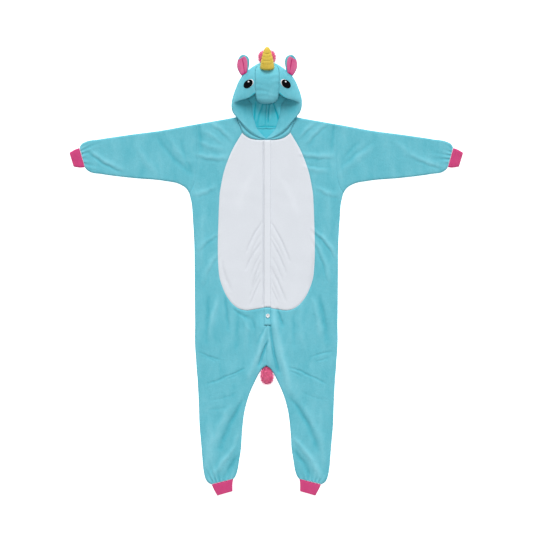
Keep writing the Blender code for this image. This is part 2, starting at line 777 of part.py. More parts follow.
def add_hood_side(name, side, collection):
    rows = [strip_row(row) for row in HOOD_STRIPS] + [wrap_row(row) for row in HOOD_WRAPS]
    mesh_data = bmesh.new()
    turn = Vector((side, 1, 1))
    lines = grid(mesh_data, [[point * turn for point in row] for row in rows])
    hems = []
    for row, hem in zip(rows, HEMS):
        end = Vector(hem)
        middle = row[0].lerp(end, 0.45) + Vector((0, 0, 0.6))
        hems.append([mesh_data.verts.new(point * turn) for point in (end, middle)])
    hems = [[*hem, line[0]] for hem, line in zip(hems, lines)]
    for low, high in zip(hems, hems[1:]):
        pairs = list(zip(low, high))
        for (a, b), (d, c) in zip(pairs, pairs[1:]):
            mesh_data.faces.new((a, b, c, d))
    face_out(mesh_data)
    floor = min(mesh_data.faces, key=lambda face: face.calc_center_median().z)
    if floor.normal.z > 0:
        bmesh.ops.reverse_faces(mesh_data, faces=mesh_data.faces)
    return thicken(place(name, mesh_data, TURQUOISE, 0.85, collection), FLEECE)


def centre_row(row):
    points = []
    for share in CENTRE_COLUMNS:
        arch = 1 - share * share
        points.append(Vector((row.half_width * share, row.y + row.sag * arch, row.side_z + row.crown * arch)))
    return points


def add_hood_centre(collection):
    rows = [centre_row(row) for row in CENTRE_ROWS]
    pull_in(rows, ("first", "last", "start", "end"))
    mesh_data = bmesh.new()
    grid(mesh_data, rows)
    turn_up(mesh_data, up=True)
    thicken(place("hood_centre", mesh_data, TURQUOISE, 0.85, collection), FLEECE)


def oval(middle, across, up, sides, square=1.0):
    """A ring of points. A square below 1 makes it fuller at its corners."""
    ring = []
    for step in range(sides):
        angle = 2 * math.pi * step / sides
        cosine, sine = math.cos(angle), math.sin(angle)
        wide = math.copysign(abs(cosine) ** square, cosine)
        high = math.copysign(abs(sine) ** square, sine)
        ring.append(middle + across * wide + up * high)
    return ring


def add_loft(name, rings, ends, colour, collection, roughness=0.85):
    """A closed solid through rings, with a fan to the given point at each end."""
    mesh_data = bmesh.new()
    lines = grid(mesh_data, rings, closed=True)
    close_end(mesh_data, lines[0], ends[0], flip=False)
    close_end(mesh_data, lines[-1], ends[1], flip=True)
    face_out(mesh_data)
    return place(name, mesh_data, colour, roughness, collection)


def add_snout(collection):
    rings = []
    for row in SNOUT_ROWS:
        middle = Vector((0, row.y, row.middle_z))
        rings.append(oval(middle, Vector((row.half_width, 0, 0)), Vector((0, 0, row.half_height)), 16, 0.7))
    first, last = SNOUT_ROWS[0], SNOUT_ROWS[-1]
    ends = (Vector((0, first.y, first.middle_z)), Vector((0, last.y - 0.4, last.middle_z)))
    add_loft("snout", rings, ends, TURQUOISE, collection)


def add_horn(tree, collection):
    axis = Vector((0, math.cos(HORN_LEAN), math.sin(HORN_LEAN)))
    up = Vector((0, -math.sin(HORN_LEAN), math.cos(HORN_LEAN)))
    foot = []
    for step in range(HORN_SIDES):
        angle = 2 * math.pi * step / HORN_SIDES
        x = HORN_BASE_RADIUS * math.cos(angle)
        y = HORN_BASE_Y - HORN_BASE_HALF_LENGTH * math.sin(angle)
        foot.append(laid_on(tree, x, y, PATCH_GAP))
    rings = [foot]
    for row in HORN_ROWS:
        middle = HORN_FOOT + axis * row.along
        rings.append(oval(middle, Vector((row.radius, 0, 0)), up * row.radius, HORN_SIDES))
    ends = (laid_on(tree, 0, HORN_BASE_Y, 1.0), HORN_FOOT + axis * (HORN_ROWS[-1].along + HORN_TIP))
    add_loft("horn", rings, ends, YELLOW, collection)


def add_mane(collection):
    rings = []
    for row in MANE_ROWS:
        middle = Vector((0, row.y, (row.low + row.high) / 2))
        half = Vector((0, 0, (row.high - row.low) / 2))
        rings.append(oval(middle, Vector((row.half_width, 0, 0)), half, 12, 0.85))
    ends = [Vector((0, row.y, (row.low + row.high) / 2)) for row in (MANE_ROWS[0], MANE_ROWS[-1])]
    add_loft("mane", rings, ends, FUCHSIA, collection)


def add_tail(collection):
    rings = []
    for row in TAIL_ROWS:
        middle = Vector((row.middle_x, row.y, row.height / 2))
        half = Vector((0, 0, row.height / 2))
        rings.append(oval(middle, Vector((row.half_width, 0, 0)), half, 12, 0.7))
    ends = [Vector((row.middle_x, row.y, row.height / 2)) for row in (TAIL_ROWS[0], TAIL_ROWS[-1])]
    add_loft("tail", rings, ends, FUCHSIA, collection)


def ear_frame(row):
    across = EAR_ACROSS.normalized()
    tip, foot = Vector(EAR_ROWS[-1][0:3]), Vector(EAR_ROWS[0][0:3])
    up = across.cross((tip - foot).normalized())
    up = up if up.z > 0 else -up
    return Vector(row[0:3]), across * row.half_width, up * row.half_height


def ear_top(row, share):
    """A point on the ear's upper side, which is dished along the middle."""
    middle, across, up = ear_frame(row)
    dish = EAR_DISH * (1 - min(1, abs(share - 0.2) / 0.6))
    round_off = math.sqrt(max(0, 1 - share * share))
    return middle + across * share + up * round_off - up.normalized() * dish * (row.half_width / 25)


def add_ear(side, tree, collection):
    turn = Vector((side, 1, 1))
    foot_axis = (Vector(EAR_ROWS[-1][0:3]) - Vector(EAR_ROWS[0][0:3])).normalized()
    rings = []
    for row in EAR_ROWS:
        middle, across, up = ear_frame(row)
        over = [ear_top(row, share) for share in EAR_SHARES]
        under = [middle + across * s - up * math.sqrt(1 - s * s) for s in (0.7, 0.25, -0.25, -0.7)]
        rings.append([point * turn for point in over + under])
    seat = []
    for point in rings[0] + [Vector(EAR_ROWS[0][0:3]) * turn]:
        start = point + foot_axis * turn * 12
        hit, _, _, reach = tree.ray_cast(start * MM, -(foot_axis * turn), 40 * MM)
        seat.append(start - foot_axis * turn * (reach / MM - 0.8) if hit else point)
    rings[0] = seat[:-1]
    tip = Vector(EAR_ROWS[-1][0:3]) * turn + foot_axis * turn * 1.5
    name = "left" if side < 0 else "right"
    add_loft(f"ear_outer_{name}", rings, (seat[-1], tip), TURQUOISE, collection)
    lift = ear_frame(EAR_ROWS[0])[2].normalized() * turn * PATCH_GAP
    rows = [[point + lift for point in ring[INNER_EAR]] for ring in rings[:-1]]
    rows[0] = [point.lerp(other, 0.35) for point, other in zip(rows[0], rows[1])]
    mesh_data = bmesh.new()
    grid(mesh_data, rows)
    turn_up(mesh_data, up=True)
    inner = place(f"ear_inner_{name}", mesh_data, PINK, 0.8, collection)
    thicken(inner, INNER_EAR_WALL, outwards=True)


def add_eye_patch(patch, side, tree, collection):
    lift = PATCH_GAP + patch.level * (FELT + EYE_LAYER_GAP)
    long_way = Vector((math.cos(EYE_TILT), math.sin(EYE_TILT)))
    short_way = Vector((-long_way.y, long_way.x))
    centre = Vector(EYE_PLACE) + Vector((patch.offset_x, patch.offset_y))
    mesh_data = bmesh.new()
    rings = []
    for share in (1, 0.55):
        ring = []
        for step in range(EYE_SIDES):
            angle = 2 * math.pi * step / EYE_SIDES
            spot = centre + share * (
                long_way * patch.half_length * math.cos(angle) + short_way * patch.half_width * math.sin(angle)
            )
            ring.append(laid_on(tree, side * spot.x, spot.y, lift))
        rings.append(ring)
    lines = grid(mesh_data, rings, closed=True)
    close_end(mesh_data, lines[-1], laid_on(tree, side * centre.x, centre.y, lift), flip=True)
    turn_up(mesh_data, up=True)
    name = f"{patch.name}_{'left' if side < 0 else 'right'}"
    thicken(place(name, mesh_data, patch.colour, 0.6, collection), FELT, outwards=True)


def main():
    clear_scene()
    collection = bpy.data.collections.new(OBJECT_NAME)
    cutters = bpy.data.collections.new("cutters")
    bpy.context.scene.collection.children.link(collection)
    bpy.context.scene.collection.children.link(cutters)
    add_back(collection)
    for side, word in ((-1, "left"), (1, "right")):
        add_front(f"front_{word}", side, collection)
        add_tummy(f"tummy_{word}", side, collection)
        add_sleeve(f"sleeve_{word}", side, collection)
        add_cuff(f"wrist_cuff_{word}", WRIST_CUFF, side, collection)
        add_cuff(f"ankle_cuff_{word}", ANKLE_CUFF, side, collection)
        add_hood_side(f"hood_side_{word}", side, collection)
    add_hood_centre(collection)
    add_snout(collection)
    tummy = surface_over(("tummy_left", "tummy_right", "front_left", "front_right"))
    add_band("placket", NECKLINE[0][1] - 0.3, BAND_SPLIT + SEAM_GAP, WHITE, tummy, collection)
    add_band("placket_lower", BAND_SPLIT, BAND_END, TURQUOISE, tummy, collection)
    add_button(tummy, collection, cutters)
    hood = surface_over(("hood_side_left", "hood_side_right", "hood_centre"))
    add_horn(hood, collection)
    add_mane(collection)
    add_tail(collection)
    for side in (-1, 1):
        add_ear(side, hood, collection)
        for patch in EYE_PATCHES:
            add_eye_patch(patch, side, hood, collection)


main()
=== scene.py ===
import math
from contextlib import contextmanager

import bmesh
import bpy
import numpy as np
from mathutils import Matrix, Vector
from mathutils.bvhtree import BVHTree


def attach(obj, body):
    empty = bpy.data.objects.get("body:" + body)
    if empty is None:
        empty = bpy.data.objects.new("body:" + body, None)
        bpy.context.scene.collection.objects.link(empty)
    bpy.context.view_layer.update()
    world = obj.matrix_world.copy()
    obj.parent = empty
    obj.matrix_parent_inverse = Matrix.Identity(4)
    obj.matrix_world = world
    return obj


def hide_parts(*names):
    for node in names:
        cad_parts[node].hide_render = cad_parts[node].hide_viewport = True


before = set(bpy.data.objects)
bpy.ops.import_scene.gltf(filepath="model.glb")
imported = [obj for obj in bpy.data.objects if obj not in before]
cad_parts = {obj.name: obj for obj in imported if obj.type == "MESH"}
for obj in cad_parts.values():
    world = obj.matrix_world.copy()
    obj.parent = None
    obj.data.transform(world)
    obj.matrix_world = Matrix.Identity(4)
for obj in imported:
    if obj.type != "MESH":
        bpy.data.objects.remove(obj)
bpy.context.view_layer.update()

# Lengths are in millimetres until a mesh is made. +Y runs to the hood, +Z up through the front.
mm = 0.001
sides = ((-1, "Left"), (1, "Right"))
cloth = {
    "fleeceWall": 2.2,
    "seamHeight": 5.0,  # where the front meets the back
    "halfHeight": 4.9,
    "rollWidth": 9.0,  # how far in from its edge the cloth rounds over
    "seamGap": 0.15,
    "gridStep": 5.4,
    "seamPinch": 1.7,
    "seamPinchWidth": 3.6,
}


# Smooth curves and grids

# Values at the wanted distances on a smooth line through points, whose own distances are stops.
def throughPoints(points, stops, wanted):
    run = np.diff(stops)
    shape = (-1,) + (1,) * (points.ndim - 1)
    slopes = np.diff(points, axis=0) / run.reshape(shape)
    tangents = np.empty_like(points)
    tangents[0], tangents[-1] = slopes[0], slopes[-1]
    share = (run[1:] / (run[:-1] + run[1:])).reshape(shape)
    tangents[1:-1] = slopes[:-1] * share + slopes[1:] * (1 - share)
    index = np.clip(np.searchsorted(stops, wanted, side="right") - 1, 0, len(run) - 1)
    length = run[index].reshape(shape)
    t = ((wanted - stops[index]) / run[index]).reshape(shape)
    start = (2 * t**3 - 3 * t**2 + 1) * points[index] + (t**3 - 2 * t**2 + t) * tangents[index] * length
    end = (3 * t**2 - 2 * t**3) * points[index + 1] + (t**3 - t**2) * tangents[index + 1] * length
    return start + end


def distancesAlong(points):
    return np.concatenate([[0], np.cumsum(np.linalg.norm(np.diff(points, axis=0), axis=1))])


# A dense line through points, sharp at the corners, with the distance along it of each point.
def smoothCurve(points, corners=(), step=2.0):
    points = np.asarray(points, float)
    line, marks = [points[:1]], [0]
    cuts = [0, *corners, len(points) - 1]
    for first, last in zip(cuts, cuts[1:]):
        part = points[first : last + 1]
        stops = distancesAlong(part)
        for low, high in zip(stops, stops[1:]):
            wanted = np.linspace(low, high, int((high - low) / step) + 2)[1:]
            line.append(throughPoints(part, stops, wanted))
            marks.append(marks[-1] + len(wanted))
    line = np.concatenate(line)
    lengths = distancesAlong(line)
    return {"line": line, "lengths": lengths, "marks": lengths[marks]}


def onCurve(curve, distances):
    columns = [np.interp(distances, curve["lengths"], curve["line"][:, k]) for k in range(curve["line"].shape[1])]
    return np.stack(columns, axis=-1)


# More values between marks, no further apart than step on any of the lists of marks.
def moreMarks(lists, step, fewest=1):
    counts = []
    for k in range(len(lists[0]) - 1):
        longest = max(abs(marks[k + 1] - marks[k]) for marks in lists)
        counts.append(max(fewest, math.ceil(longest / step)))
    finer = []
    for marks in lists:
        parts = [np.linspace(marks[k], marks[k + 1], counts[k] + 1)[:-1] for k in range(len(counts))]
        finer.append(np.concatenate([*parts, [marks[-1]]]))
    return finer


# A control grid of points made finer both ways, smooth through its points.
def smoothGrid(rows, rowStep, columnCount, closed=False):
    rows = np.asarray(rows, float)
    if closed:
        rows = np.concatenate([rows[:, -2:], rows, rows[:, :3]], axis=1)
    rowStops = np.concatenate([[0], np.cumsum(np.linalg.norm(np.diff(rows, axis=0), axis=2).max(axis=1))])
    wantedRows = moreMarks([rowStops], rowStep)[0]
    rows = throughPoints(rows, rowStops, wantedRows)
    finer = []
    for row in rows:
        stops = distancesAlong(row) + np.arange(len(row)) * 1e-4
        if closed:
            wanted = np.linspace(stops[2], stops[-3], columnCount + 1)[:-1]
        else:
            wanted = np.linspace(stops[0], stops[-1], columnCount)
        finer.append(throughPoints(row, stops, wanted))
    return np.stack(finer)


def gridFaces(rowCount, columnCount, closed=False):
    row = np.arange(rowCount - 1)[:, None] * columnCount
    column = np.arange(columnCount if closed else columnCount - 1)[None, :]
    after = (column + 1) % columnCount
    corners = (row + column, row + after, row + columnCount + after, row + columnCount + column)
    return np.stack(corners, axis=-1).reshape(-1, 4)


def smoothStep(value, start, end):
    share = np.clip((value - start) / (end - start), 0, 1)
    return share * share * (3 - 2 * share)


# Least distance from places in plan to a line of points.
def lineDistance(x, y, line):
    nearest = np.full(x.shape, 1e9)
    for a, b in zip(line, line[1:]):
        run = b - a
        share = np.clip(((x - a[0]) * run[0] + (y - a[1]) * run[1]) / max(1e-9, run @ run), 0, 1)
        np.minimum(nearest, np.hypot(x - a[0] - share * run[0], y - a[1] - share * run[1]), out=nearest)
    return nearest


# The cut, one side of it

armhole = smoothCurve(((305, 637), (304.3, 560), (304, 480), (304.6, 434), (308, 400), (318, 366), (334, 338)))
frontCut = {
    "columns": 76,
    # inner x and y against the share of the armhole
    "armRows": (
        (129, 668, 0),
        (128.6, 666, 0.0066),
        (127, 660.5, 0.023),
        (116, 630, 0.131),
        (104, 601, 0.253),
        (149, 523, 0.515),
        (168, 478, 0.646),
        (184, 430, 0.778),
        (194, 385, 0.894),
        (199, 358, 0.977),
        (200, 352, 0.9934),
        (201, 346, 1),
    ),
    "neckCorner": 4,
    # inner x and y, outer x and y
    "bodyRows": (
        (205, 290, 325, 300),
        (208, 213, 318.5, 222),
        (210, 140, 313, 130),
        (208, 20, 311, -25),
        (203, -28, 310.5, -90),
        (190, -70, 310, -145),
        (168, -115, 309.5, -195),
        (135, -152, 309, -235),
        (118, -163, 309.5, -262),
        (91, -170, 310, -287),
        (45, -165, 309.5, -312),
        (0, -157, 308.5, -335),
        (0, -200, 307, -358),
        (0, -250, 305, -382),
        (0, -330, 303, -415),
        (0, -404, 300, -450),
        (0, -411, 299, -458),
    ),
    "hemRow": 11,
    "flat": (0.335, 1.62),
    "area": 0.29,
}
legRows = (
    (14, -419, 298, -477),
    (27, -436, 296.5, -502),
    (50, -480, 294, -550),
    (73, -532, 292, -602),
    (89, -584, 290.5, -652),
    (106, -714, 282, -757),
    (109, -766, 278, -805),
    (117, -818, 274.5, -848),
    (126, -868, 269, -881),
    (133, -888, 264, -899),
    (137, -894, 254, -915),
    (141, -899, 240, -924),
)
backCut = {
    "columns": 28,
    "armRows": (
        (129, 668, 0),
        (127.5, 666.3, 0.0066),
        (123, 661, 0.023),
        (95, 638, 0.328),
        (50, 624, 0.646),
        (0, 622, 0.778),
        (0, 575, 0.894),
        (0, 540, 0.977),
        (0, 500, 1),
    ),
    "bodyRows": (
        (0, 400, 323, 265),
        (0, 270, 315.5, 175),
        (0, 130, 311, 50),
        (0, 0, 310.5, -90),
        (0, -100, 309.5, -195),
        (0, -170, 309.5, -262),
        (0, -250, 308.5, -335),
        (0, -340, 303, -415),
        (0, -404, 300, -450),
        (0, -411, 299, -458),
    ),
    "neckRow": 5,
    "flat": (0.66, 1.62),
    "area": 0.86,
}
sleeveCut = {
    # upper edge x and y, lower edge x and y, how much of the armhole's curve the ring keeps
    "rows": (
        (305.3, 637, 334.5, 338.3, 1.0),
        (335, 632, 346, 357, 0.8),
        (372, 625, 376, 377, 0.5),
        (442, 612, 440, 391, 0.15),
        (590, 592, 580, 404, 0.0),
        (725, 572, 714, 421, 0.0),
        (782, 562, 766, 431, 0.0),
        (802, 551, 778, 439, 0.0),
        (810, 537, 786, 449, 0.0),
    ),
    "ringCount": 84,
    "flat": (0.6, 0.51),
    "area": 0.20,
}
outerSide = smoothCurve([armhole["line"][-1]] + [row[2:] for row in frontCut["bodyRows"] + legRows])
innerLeg = smoothCurve([(0, -411)] + [row[:2] for row in legRows])
sleeveTop = smoothCurve([row[:2] for row in sleeveCut["rows"]])
sleeveBottom = smoothCurve([row[2:4] for row in sleeveCut["rows"]])
shoulder = np.array(((129, 668), (217, 652.5), (305, 637)), float)
tummyEdge = smoothCurve([row[:2] for row in frontCut["armRows"][4:]] + [row[:2] for row in frontCut["bodyRows"][:12]])
neckline = smoothCurve(((0, 569.4), (17, 569.5), (35, 569.7), (69, 576), (90, 588), (104, 601)))


def thinned(line, step=8.0):
    stops = distancesAlong(line)
    wanted = np.linspace(0, stops[-1], int(stops[-1] / step) + 2)
    return np.stack([np.interp(wanted, stops, line[:, k]) for k in range(2)], axis=-1)


edgeCurves = (outerSide, innerLeg, sleeveTop, sleeveBottom)
outlines = [thinned(line) for line in (shoulder, *(curve["line"] for curve in edgeCurves))]
neckSide = np.array(frontCut["armRows"])[:5, :2]
seamLines = [thinned(line) for line in (armhole["line"], tummyEdge["line"], neckline["line"], neckSide)]
seamLines.append(np.array(((0, -234), (0, -411)), float))

# Folds that show: start, end, sideways bow, rise (a trough below 0), half width, and the depth of a crease
# beside it, on the right of its run, or on the left below 0.
frontFolds = (
    (5, -306, -30, -408, 2, -8.0, 5, 0),
    (17, -236, 52, -436, 5, -8.5, 5.4, 0),
    (-3, -250, -76, -455, -5, 4.2, 11, 0),
    (-2, -240, -38, -312, 2, -2.4, 4, 0),
    (31, -180, 106, -524, 6, 6.2, 14, 0),
    (13, -250, 14, -402, 0, 2.6, 11, 0),
    (49, -168, 70, -236, 0, -4.6, 6, 0),
    (-60, -212, -50, -250, 0, -2.4, 4, 0),
    (-106, -570, -198, -764, 6, -4.4, 11.5, 0),
    (-152, -584, -228, -745, 7, 2.0, 15, 0),
    (-144, -774, -232, -892, 4, 3.8, 13, 0),
    (-122, -800, -176, -892, 3, -3.4, 10, 0),
    (-112, -690, -150, -790, 4, 2.0, 11, 0),
    (116, -566, 220, -772, -12, -4.2, 11.5, 0),
    (144, -560, 240, -757, -8, 2.0, 15, 0),
    (122, -728, 232, -890, -10, 4.2, 13, 0),
    (116, -776, 190, -894, -8, -3.6, 11, 0),
    (236, -640, 250, -840, 6, 2.2, 16, 0),
    (-246, -650, -252, -850, -6, 2.2, 16, 0),
    (-288, -352, -206, -383, 3, -2.2, 3.8, 0),
    (-280, -368, -222, -390, -2, -1.5, 3.4, 0),
    (-258, -488, -176, -458, 3, -2.2, 4.0, 0),
    (-184, -458, -98, -423, 4, -2.2, 4.0, 0),
    (-170, -466, -120, -446, 2, -1.3, 3.6, 0),
    (196, -372, 282, -349, -3, -1.9, 3.8, 0),
    (212, -392, 268, -376, 2, -1.4, 3.4, 0),
    (101, -420, 176, -447, -4, -2.2, 4.0, 0),
    (166, -446, 254, -486, -3, -2.2, 4.0, 0),
    (104, -434, 150, -456, -2, -1.3, 3.4, 0),
    (-212, -128, -248, -280, 4, 3.2, 13, 0),
    (-178, -122, -165, -248, 0, -3.6, 6.5, 0),
    (-252, -120, -262, -300, 0, -2.8, 10, 0),
    (-140, -168, -66, -208, 4, -2.2, 8, 0),
    (-104, -200, -70, -262, 2, 1.6, 8, 0),
    (-120, -190, -128, -330, 3, -2.4, 9, 0),
    (-88, -222, -84, -330, 2, 1.3, 10, 0),
    (232, -124, 263, -292, -3, -3.8, 11, 0),
    (204, -130, 236, -272, -3, 3.2, 12, 0),
    (148, -170, 158, -330, 3, 1.8, 12, 0),
    (118, -190, 122, -320, 2, -2.2, 9, 0),
    (-236, -560, -130, -530, 4, -0.9, 6, 0),
    (-252, -600, -170, -590, 3, -0.9, 6, 0),
    (150, -520, 250, -560, 4, -0.8, 6, 0),
    (-18, 213, -86, 86, 5, -2.4, 4.6, 0),
    (-21, 166, -70, 62, 4, -1.3, 4.2, 0),
    (-23, 122, -88, 10, 5, -2.4, 4.6, 0),
    (-24, 74, -66, -20, 4, -1.5, 4.2, 0),
    (-25, 40, -62, -72, 2, -2.2, 4.6, 0),
    (-25, -8, -70, -110, 3, -1.6, 4.2, 0),
    (-26, -42, -68, -144, 1, -2.2, 4.6, 0),
    (22, 210, 100, 46, -5, -2.6, 4.6, 0),
    (22, 160, 74, 60, -3, -1.3, 4.2, 0),
    (22, 131, 84, -6, -4, -2.4, 4.6, 0),
    (23, 66, 70, -40, -3, -1.5, 4.2, 0),
    (24, 10, 83, -128, -2, -2.4, 4.8, 0),
    (24, -40, 56, -120, -1, -1.5, 4.2, 0),
    (24, -76, 50, -136, 0, -1.8, 4.2, 0),
    (-190, 36, -156, -74, 6, -2.0, 7, 0),
    (202, 70, 190, -66, -4, -2.0, 7, 0),
    (-60, 420, -120, 250, 10, 0.9, 18, 0),
    (58, 400, 128, 240, -10, 0.9, 18, 0),
    (-292, 503, -176, 491, 4, 3.0, 12, 1.0),
    (-288, 560, -190, 530, 5, 2.2, 12, 0),
    (156, 508, 282, 500, 5, 3.0, 12, 1.0),
    (168, 452, 262, 436, 5, 2.0, 10, -0.7),
    (206, 180, 300, 70, -8, 3.0, 10, 1.6),
    (208, 140, 272, -30, -8, 2.8, 11, 1.6),
    (-214, 160, -292, 96, 6, 1.6, 10, -1.0),
    (-216, 70, -276, -50, 8, 1.8, 12, -1.0),
    (176, 560, 262, 644, -4, 2.2, 11, 1.4),
    (148, 584, 206, 640, -4, 2.2, 9, 1.0),
    (-152, 572, -236, 644, 4, 1.9, 11, -1.2),
    (-198, 560, -276, 610, 4, 2.0, 10, 0),
    (-292, 634, -284, 524, 0, -2.6, 8, 0),
    (292, 634, 284, 524, 0, -2.6, 8, 0),
    (-760, 522, -628, 444, 8, 2.4, 11, 2.6),
    (-466, 570, -328, 424, 9, -2.2, 11, 0),
    (-372, 564, -324, 428, 5, -2.2, 8, 0),
    (-420, 580, -338, 470, 7, 1.6, 11, 0),
    (460, 534, 326, 424, 6, 2.0, 15, 1.4),
    (400, 560, 326, 470, 5, -1.8, 9, 0),
    (560, 560, 700, 470, 8, 1.4, 15, 0),
    (640, 500, 770, 452, 4, 1.8, 11, 1.2),
    (-560, 540, -480, 430, 6, 1.9, 15, 0),
    (228, 360, 310, 330, 6, 2.2, 12, 0.6),
    (-228, 366, -310, 334, -6, 2.2, 12, -0.6),
    (-268, 250, -286, 60, 4, 1.6, 15, 0),
    (262, 330, 276, 200, -4, 1.6, 15, 0),
)
# The hidden back's, lighter because it lies on the ground: what rises here is drawn in under it.
backFolds = (
    (-20, 420, -150, 120, 18, 1.6, 14, 0),
    (40, 470, 160, 210, -16, 1.5, 13, 0),
    (-60, -20, -210, -170, 12, 1.9, 12, 0),
    (70, -30, 230, -150, -12, 1.7, 13, 0),
    (-10, -200, -120, -400, 10, 2.0, 12, 0),
    (12, -210, 110, -410, -10, 2.0, 12, 0),
    (-150, -560, -214, -760, -8, 2.0, 13, 0),
    (160, -580, 220, -780, 8, 2.0, 13, 0),
    (-130, -800, -200, -890, -4, 1.8, 10, 0),
    (136, -790, 214, -890, 4, 1.8, 10, 0),
    (-220, 600, -120, 500, 6, 1.7, 13, 0),
    (226, 610, 130, 490, -6, 1.7, 13, 0),
    (-300, 560, -250, 380, 6, 1.5, 12, 0),
    (298, 540, 256, 360, -6, 1.5, 12, 0),
    (-700, 540, -540, 440, 8, 2.0, 14, 0),
    (690, 530, 560, 450, -8, 2.0, 14, 0),
    (-430, 580, -350, 440, 6, 1.8, 12, 0),
    (440, 590, 356, 430, -6, 1.8, 12, 0),
)


foldShape = {
    "wobble": 0.12,  # how far a fold strays from its line, as a share of its width
    "wobbles": 5,
    "startWidth": 0.72,
    "widening": 0.45,
    "endReach": 1.3,
    "endHeight": 0.45,
    "creaseAway": 1.25,
    "creaseWidth": 0.5,
}


def foldRise(x, y, folds):
    rise = np.zeros(x.shape)
    for startX, startY, endX, endY, bow, height, width, crease in folds:
        start, end = np.array((startX, startY), float), np.array((endX, endY), float)
        run = end - start
        length = np.hypot(*run)
        along = ((x - startX) * run[0] + (y - startY) * run[1]) / length**2
        across = ((x - startX) * run[1] - (y - startY) * run[0]) / length
        inside = np.clip(along, 0, 1)
        beyond = np.maximum(0, np.maximum(-along, along - 1)) * length
        wobble = foldShape["wobble"] * width * np.sin(foldShape["wobbles"] * np.pi * inside + startX)
        across = across - bow * np.sin(np.pi * inside) - wobble
        spread = width * (foldShape["startWidth"] + foldShape["widening"] * inside)
        swell = foldShape["endHeight"] + (1 - foldShape["endHeight"]) * np.sin(np.pi * inside) ** 0.7
        ends = np.exp(-((beyond / (foldShape["endReach"] * width)) ** 2)) * swell
        rise += height * ends * np.exp(-((across / spread) ** 2))
        if crease:
            beside = across - math.copysign(foldShape["creaseAway"] * width, crease)
            rise -= abs(crease) * ends * np.exp(-((beside / (foldShape["creaseWidth"] * width)) ** 2))
    return rise


# Broad unevenness of cloth smoothed out by hand, as sums of slow waves.
def layOfCloth(x, y):
    slow = np.sin(x / 61 + 1.3 * np.sin(y / 97)) * np.sin(y / 73 + 0.8 * np.sin(x / 83 + 2))
    quick = np.sin((x + 0.6 * y) / 27 + 1.7 * np.sin(y / 51)) * np.sin((y - 0.4 * x) / 33 + 1.1 * np.sin(x / 47))
    return 0.55 * slow + 0.32 * quick


gathers = {
    # cuff seam's two ends, the way the limb runs from it, number of gathers, depth and reach
    "wrist": ((810, 537), (786, 449), (-1, 0.14), 6.5, 2.0, 62),
    "ankle": ((240, -924), (141, -899), (0.06, 1), 7.5, 2.2, 74),
}


def gatherRise(x, y):
    rise = np.zeros(x.shape)
    for first, second, way, count, depth, reach in gathers.values():
        first, second, way = (np.array(v, float) for v in (first, second, way))
        middle, half = (first + second) / 2, np.hypot(*(second - first)) / 2
        way /= np.hypot(*way)
        away = (np.abs(x) - middle[0]) * way[0] + (y - middle[1]) * way[1]
        across = (np.abs(x) - middle[0]) * -way[1] + (y - middle[1]) * way[0]
        place = across / (half * (1 + 0.011 * np.clip(away, 0, 90)))
        phase = np.where(x > 0, 0.7, 2.1)
        wave = np.sin(count * np.pi * place / 1.3 + phase + 0.9 * np.sin(3.1 * place + phase))
        ownReach = reach * (0.62 + 0.38 * np.sin(4.7 * place + 2 * phase))
        rise += depth * wave * np.exp(-np.clip(away, 0, None) / ownReach * 1.6) * (np.abs(place) < 1.3) * (away > -20)
    return rise


seat = {"rise": 7.0, "flat": 28.0, "reach": 62.0, "high": -178.0, "low": -250.0, "end": (-510.0, -430.0)}


def seatRise(x, y):
    across = 1 - smoothStep(np.abs(x), seat["flat"], seat["reach"])
    return seat["rise"] * across * (1 - smoothStep(y, seat["low"], seat["high"])) * smoothStep(y, *seat["end"])


def edgeDistance(x, y):
    nearest = np.full(x.shape, 1e9)
    for line in outlines:
        np.minimum(nearest, lineDistance(np.abs(x), y, line), out=nearest)
    return nearest


def rollOver(distance):
    share = 1 - np.clip(distance / cloth["rollWidth"], 0, 1)
    return (1 - share**2.6) ** 0.62


def seamDip(x, y):
    dip = np.zeros(x.shape)
    for line in seamLines:
        near = np.exp(-((lineDistance(np.abs(x), y, line) / cloth["seamPinchWidth"]) ** 2))
        np.maximum(dip, near, out=dip)
    return cloth["seamPinch"] * dip


# The open side of the front, beside its band, as a line that wanders a little.
placketDip = {"x": -14.2, "wander": 0.8, "depth": 3.0, "halfWidth": 2.6}


def placketLine(x, y):
    beside = x - placketDip["x"] - placketDip["wander"] * (np.sin(y / 17) + 0.7 * np.sin(y / 41 + 1))
    near = np.exp(-((beside / placketDip["halfWidth"]) ** 2))
    return near * smoothStep(y, -157, -140) * smoothStep(y, 566, 550)


def frontHeight(x, y):
    distance = edgeDistance(x, y)
    fade = smoothStep(distance, 0, 24)
    relief = foldRise(x, y, frontFolds) + layOfCloth(x, y) + gatherRise(x, y)
    relief = relief - placketDip["depth"] * placketLine(x, y)
    low, top = cloth["seamHeight"] + cloth["seamGap"], cloth["halfHeight"] - cloth["seamGap"]
    return low + seatRise(x, y) + top * rollOver(distance) + fade * relief - fade * seamDip(x, y)


# Painted highlight along a ridge and painted shade in a crease, from how high the folds rise, with painted shade along
# the placket's open side.
def paintedFoldShade(x, y):
    relief = foldRise(x, y, frontFolds) + 0.7 * gatherRise(x, y)
    return np.tanh(relief / 4.5) - placketLine(x, y)


def backHeight(x, y):
    distance = edgeDistance(x, y)
    fade = smoothStep(distance, 0, 30)
    relief = np.maximum(0, foldRise(x, y, backFolds)) + 0.5 * np.maximum(0, gatherRise(x, y))
    low = cloth["seamHeight"] - cloth["seamGap"]
    return low + seatRise(x, y) - low * rollOver(distance) + fade * relief


# Pieces

pieces = {}


def placed(name, mesh):
    obj = bpy.data.objects.new(name, mesh)
    bpy.context.scene.collection.objects.link(obj)
    return obj


def keepPiece(obj, nodes=()):
    if nodes:
        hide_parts(*nodes)
    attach(obj, "root")
    pieces[obj.name] = obj
    return obj


# A mesh open for editing, written back afterwards.
@contextmanager
def editing(mesh):
    data = bmesh.new()
    data.from_mesh(mesh)
    yield data
    data.to_mesh(mesh)
    data.free()
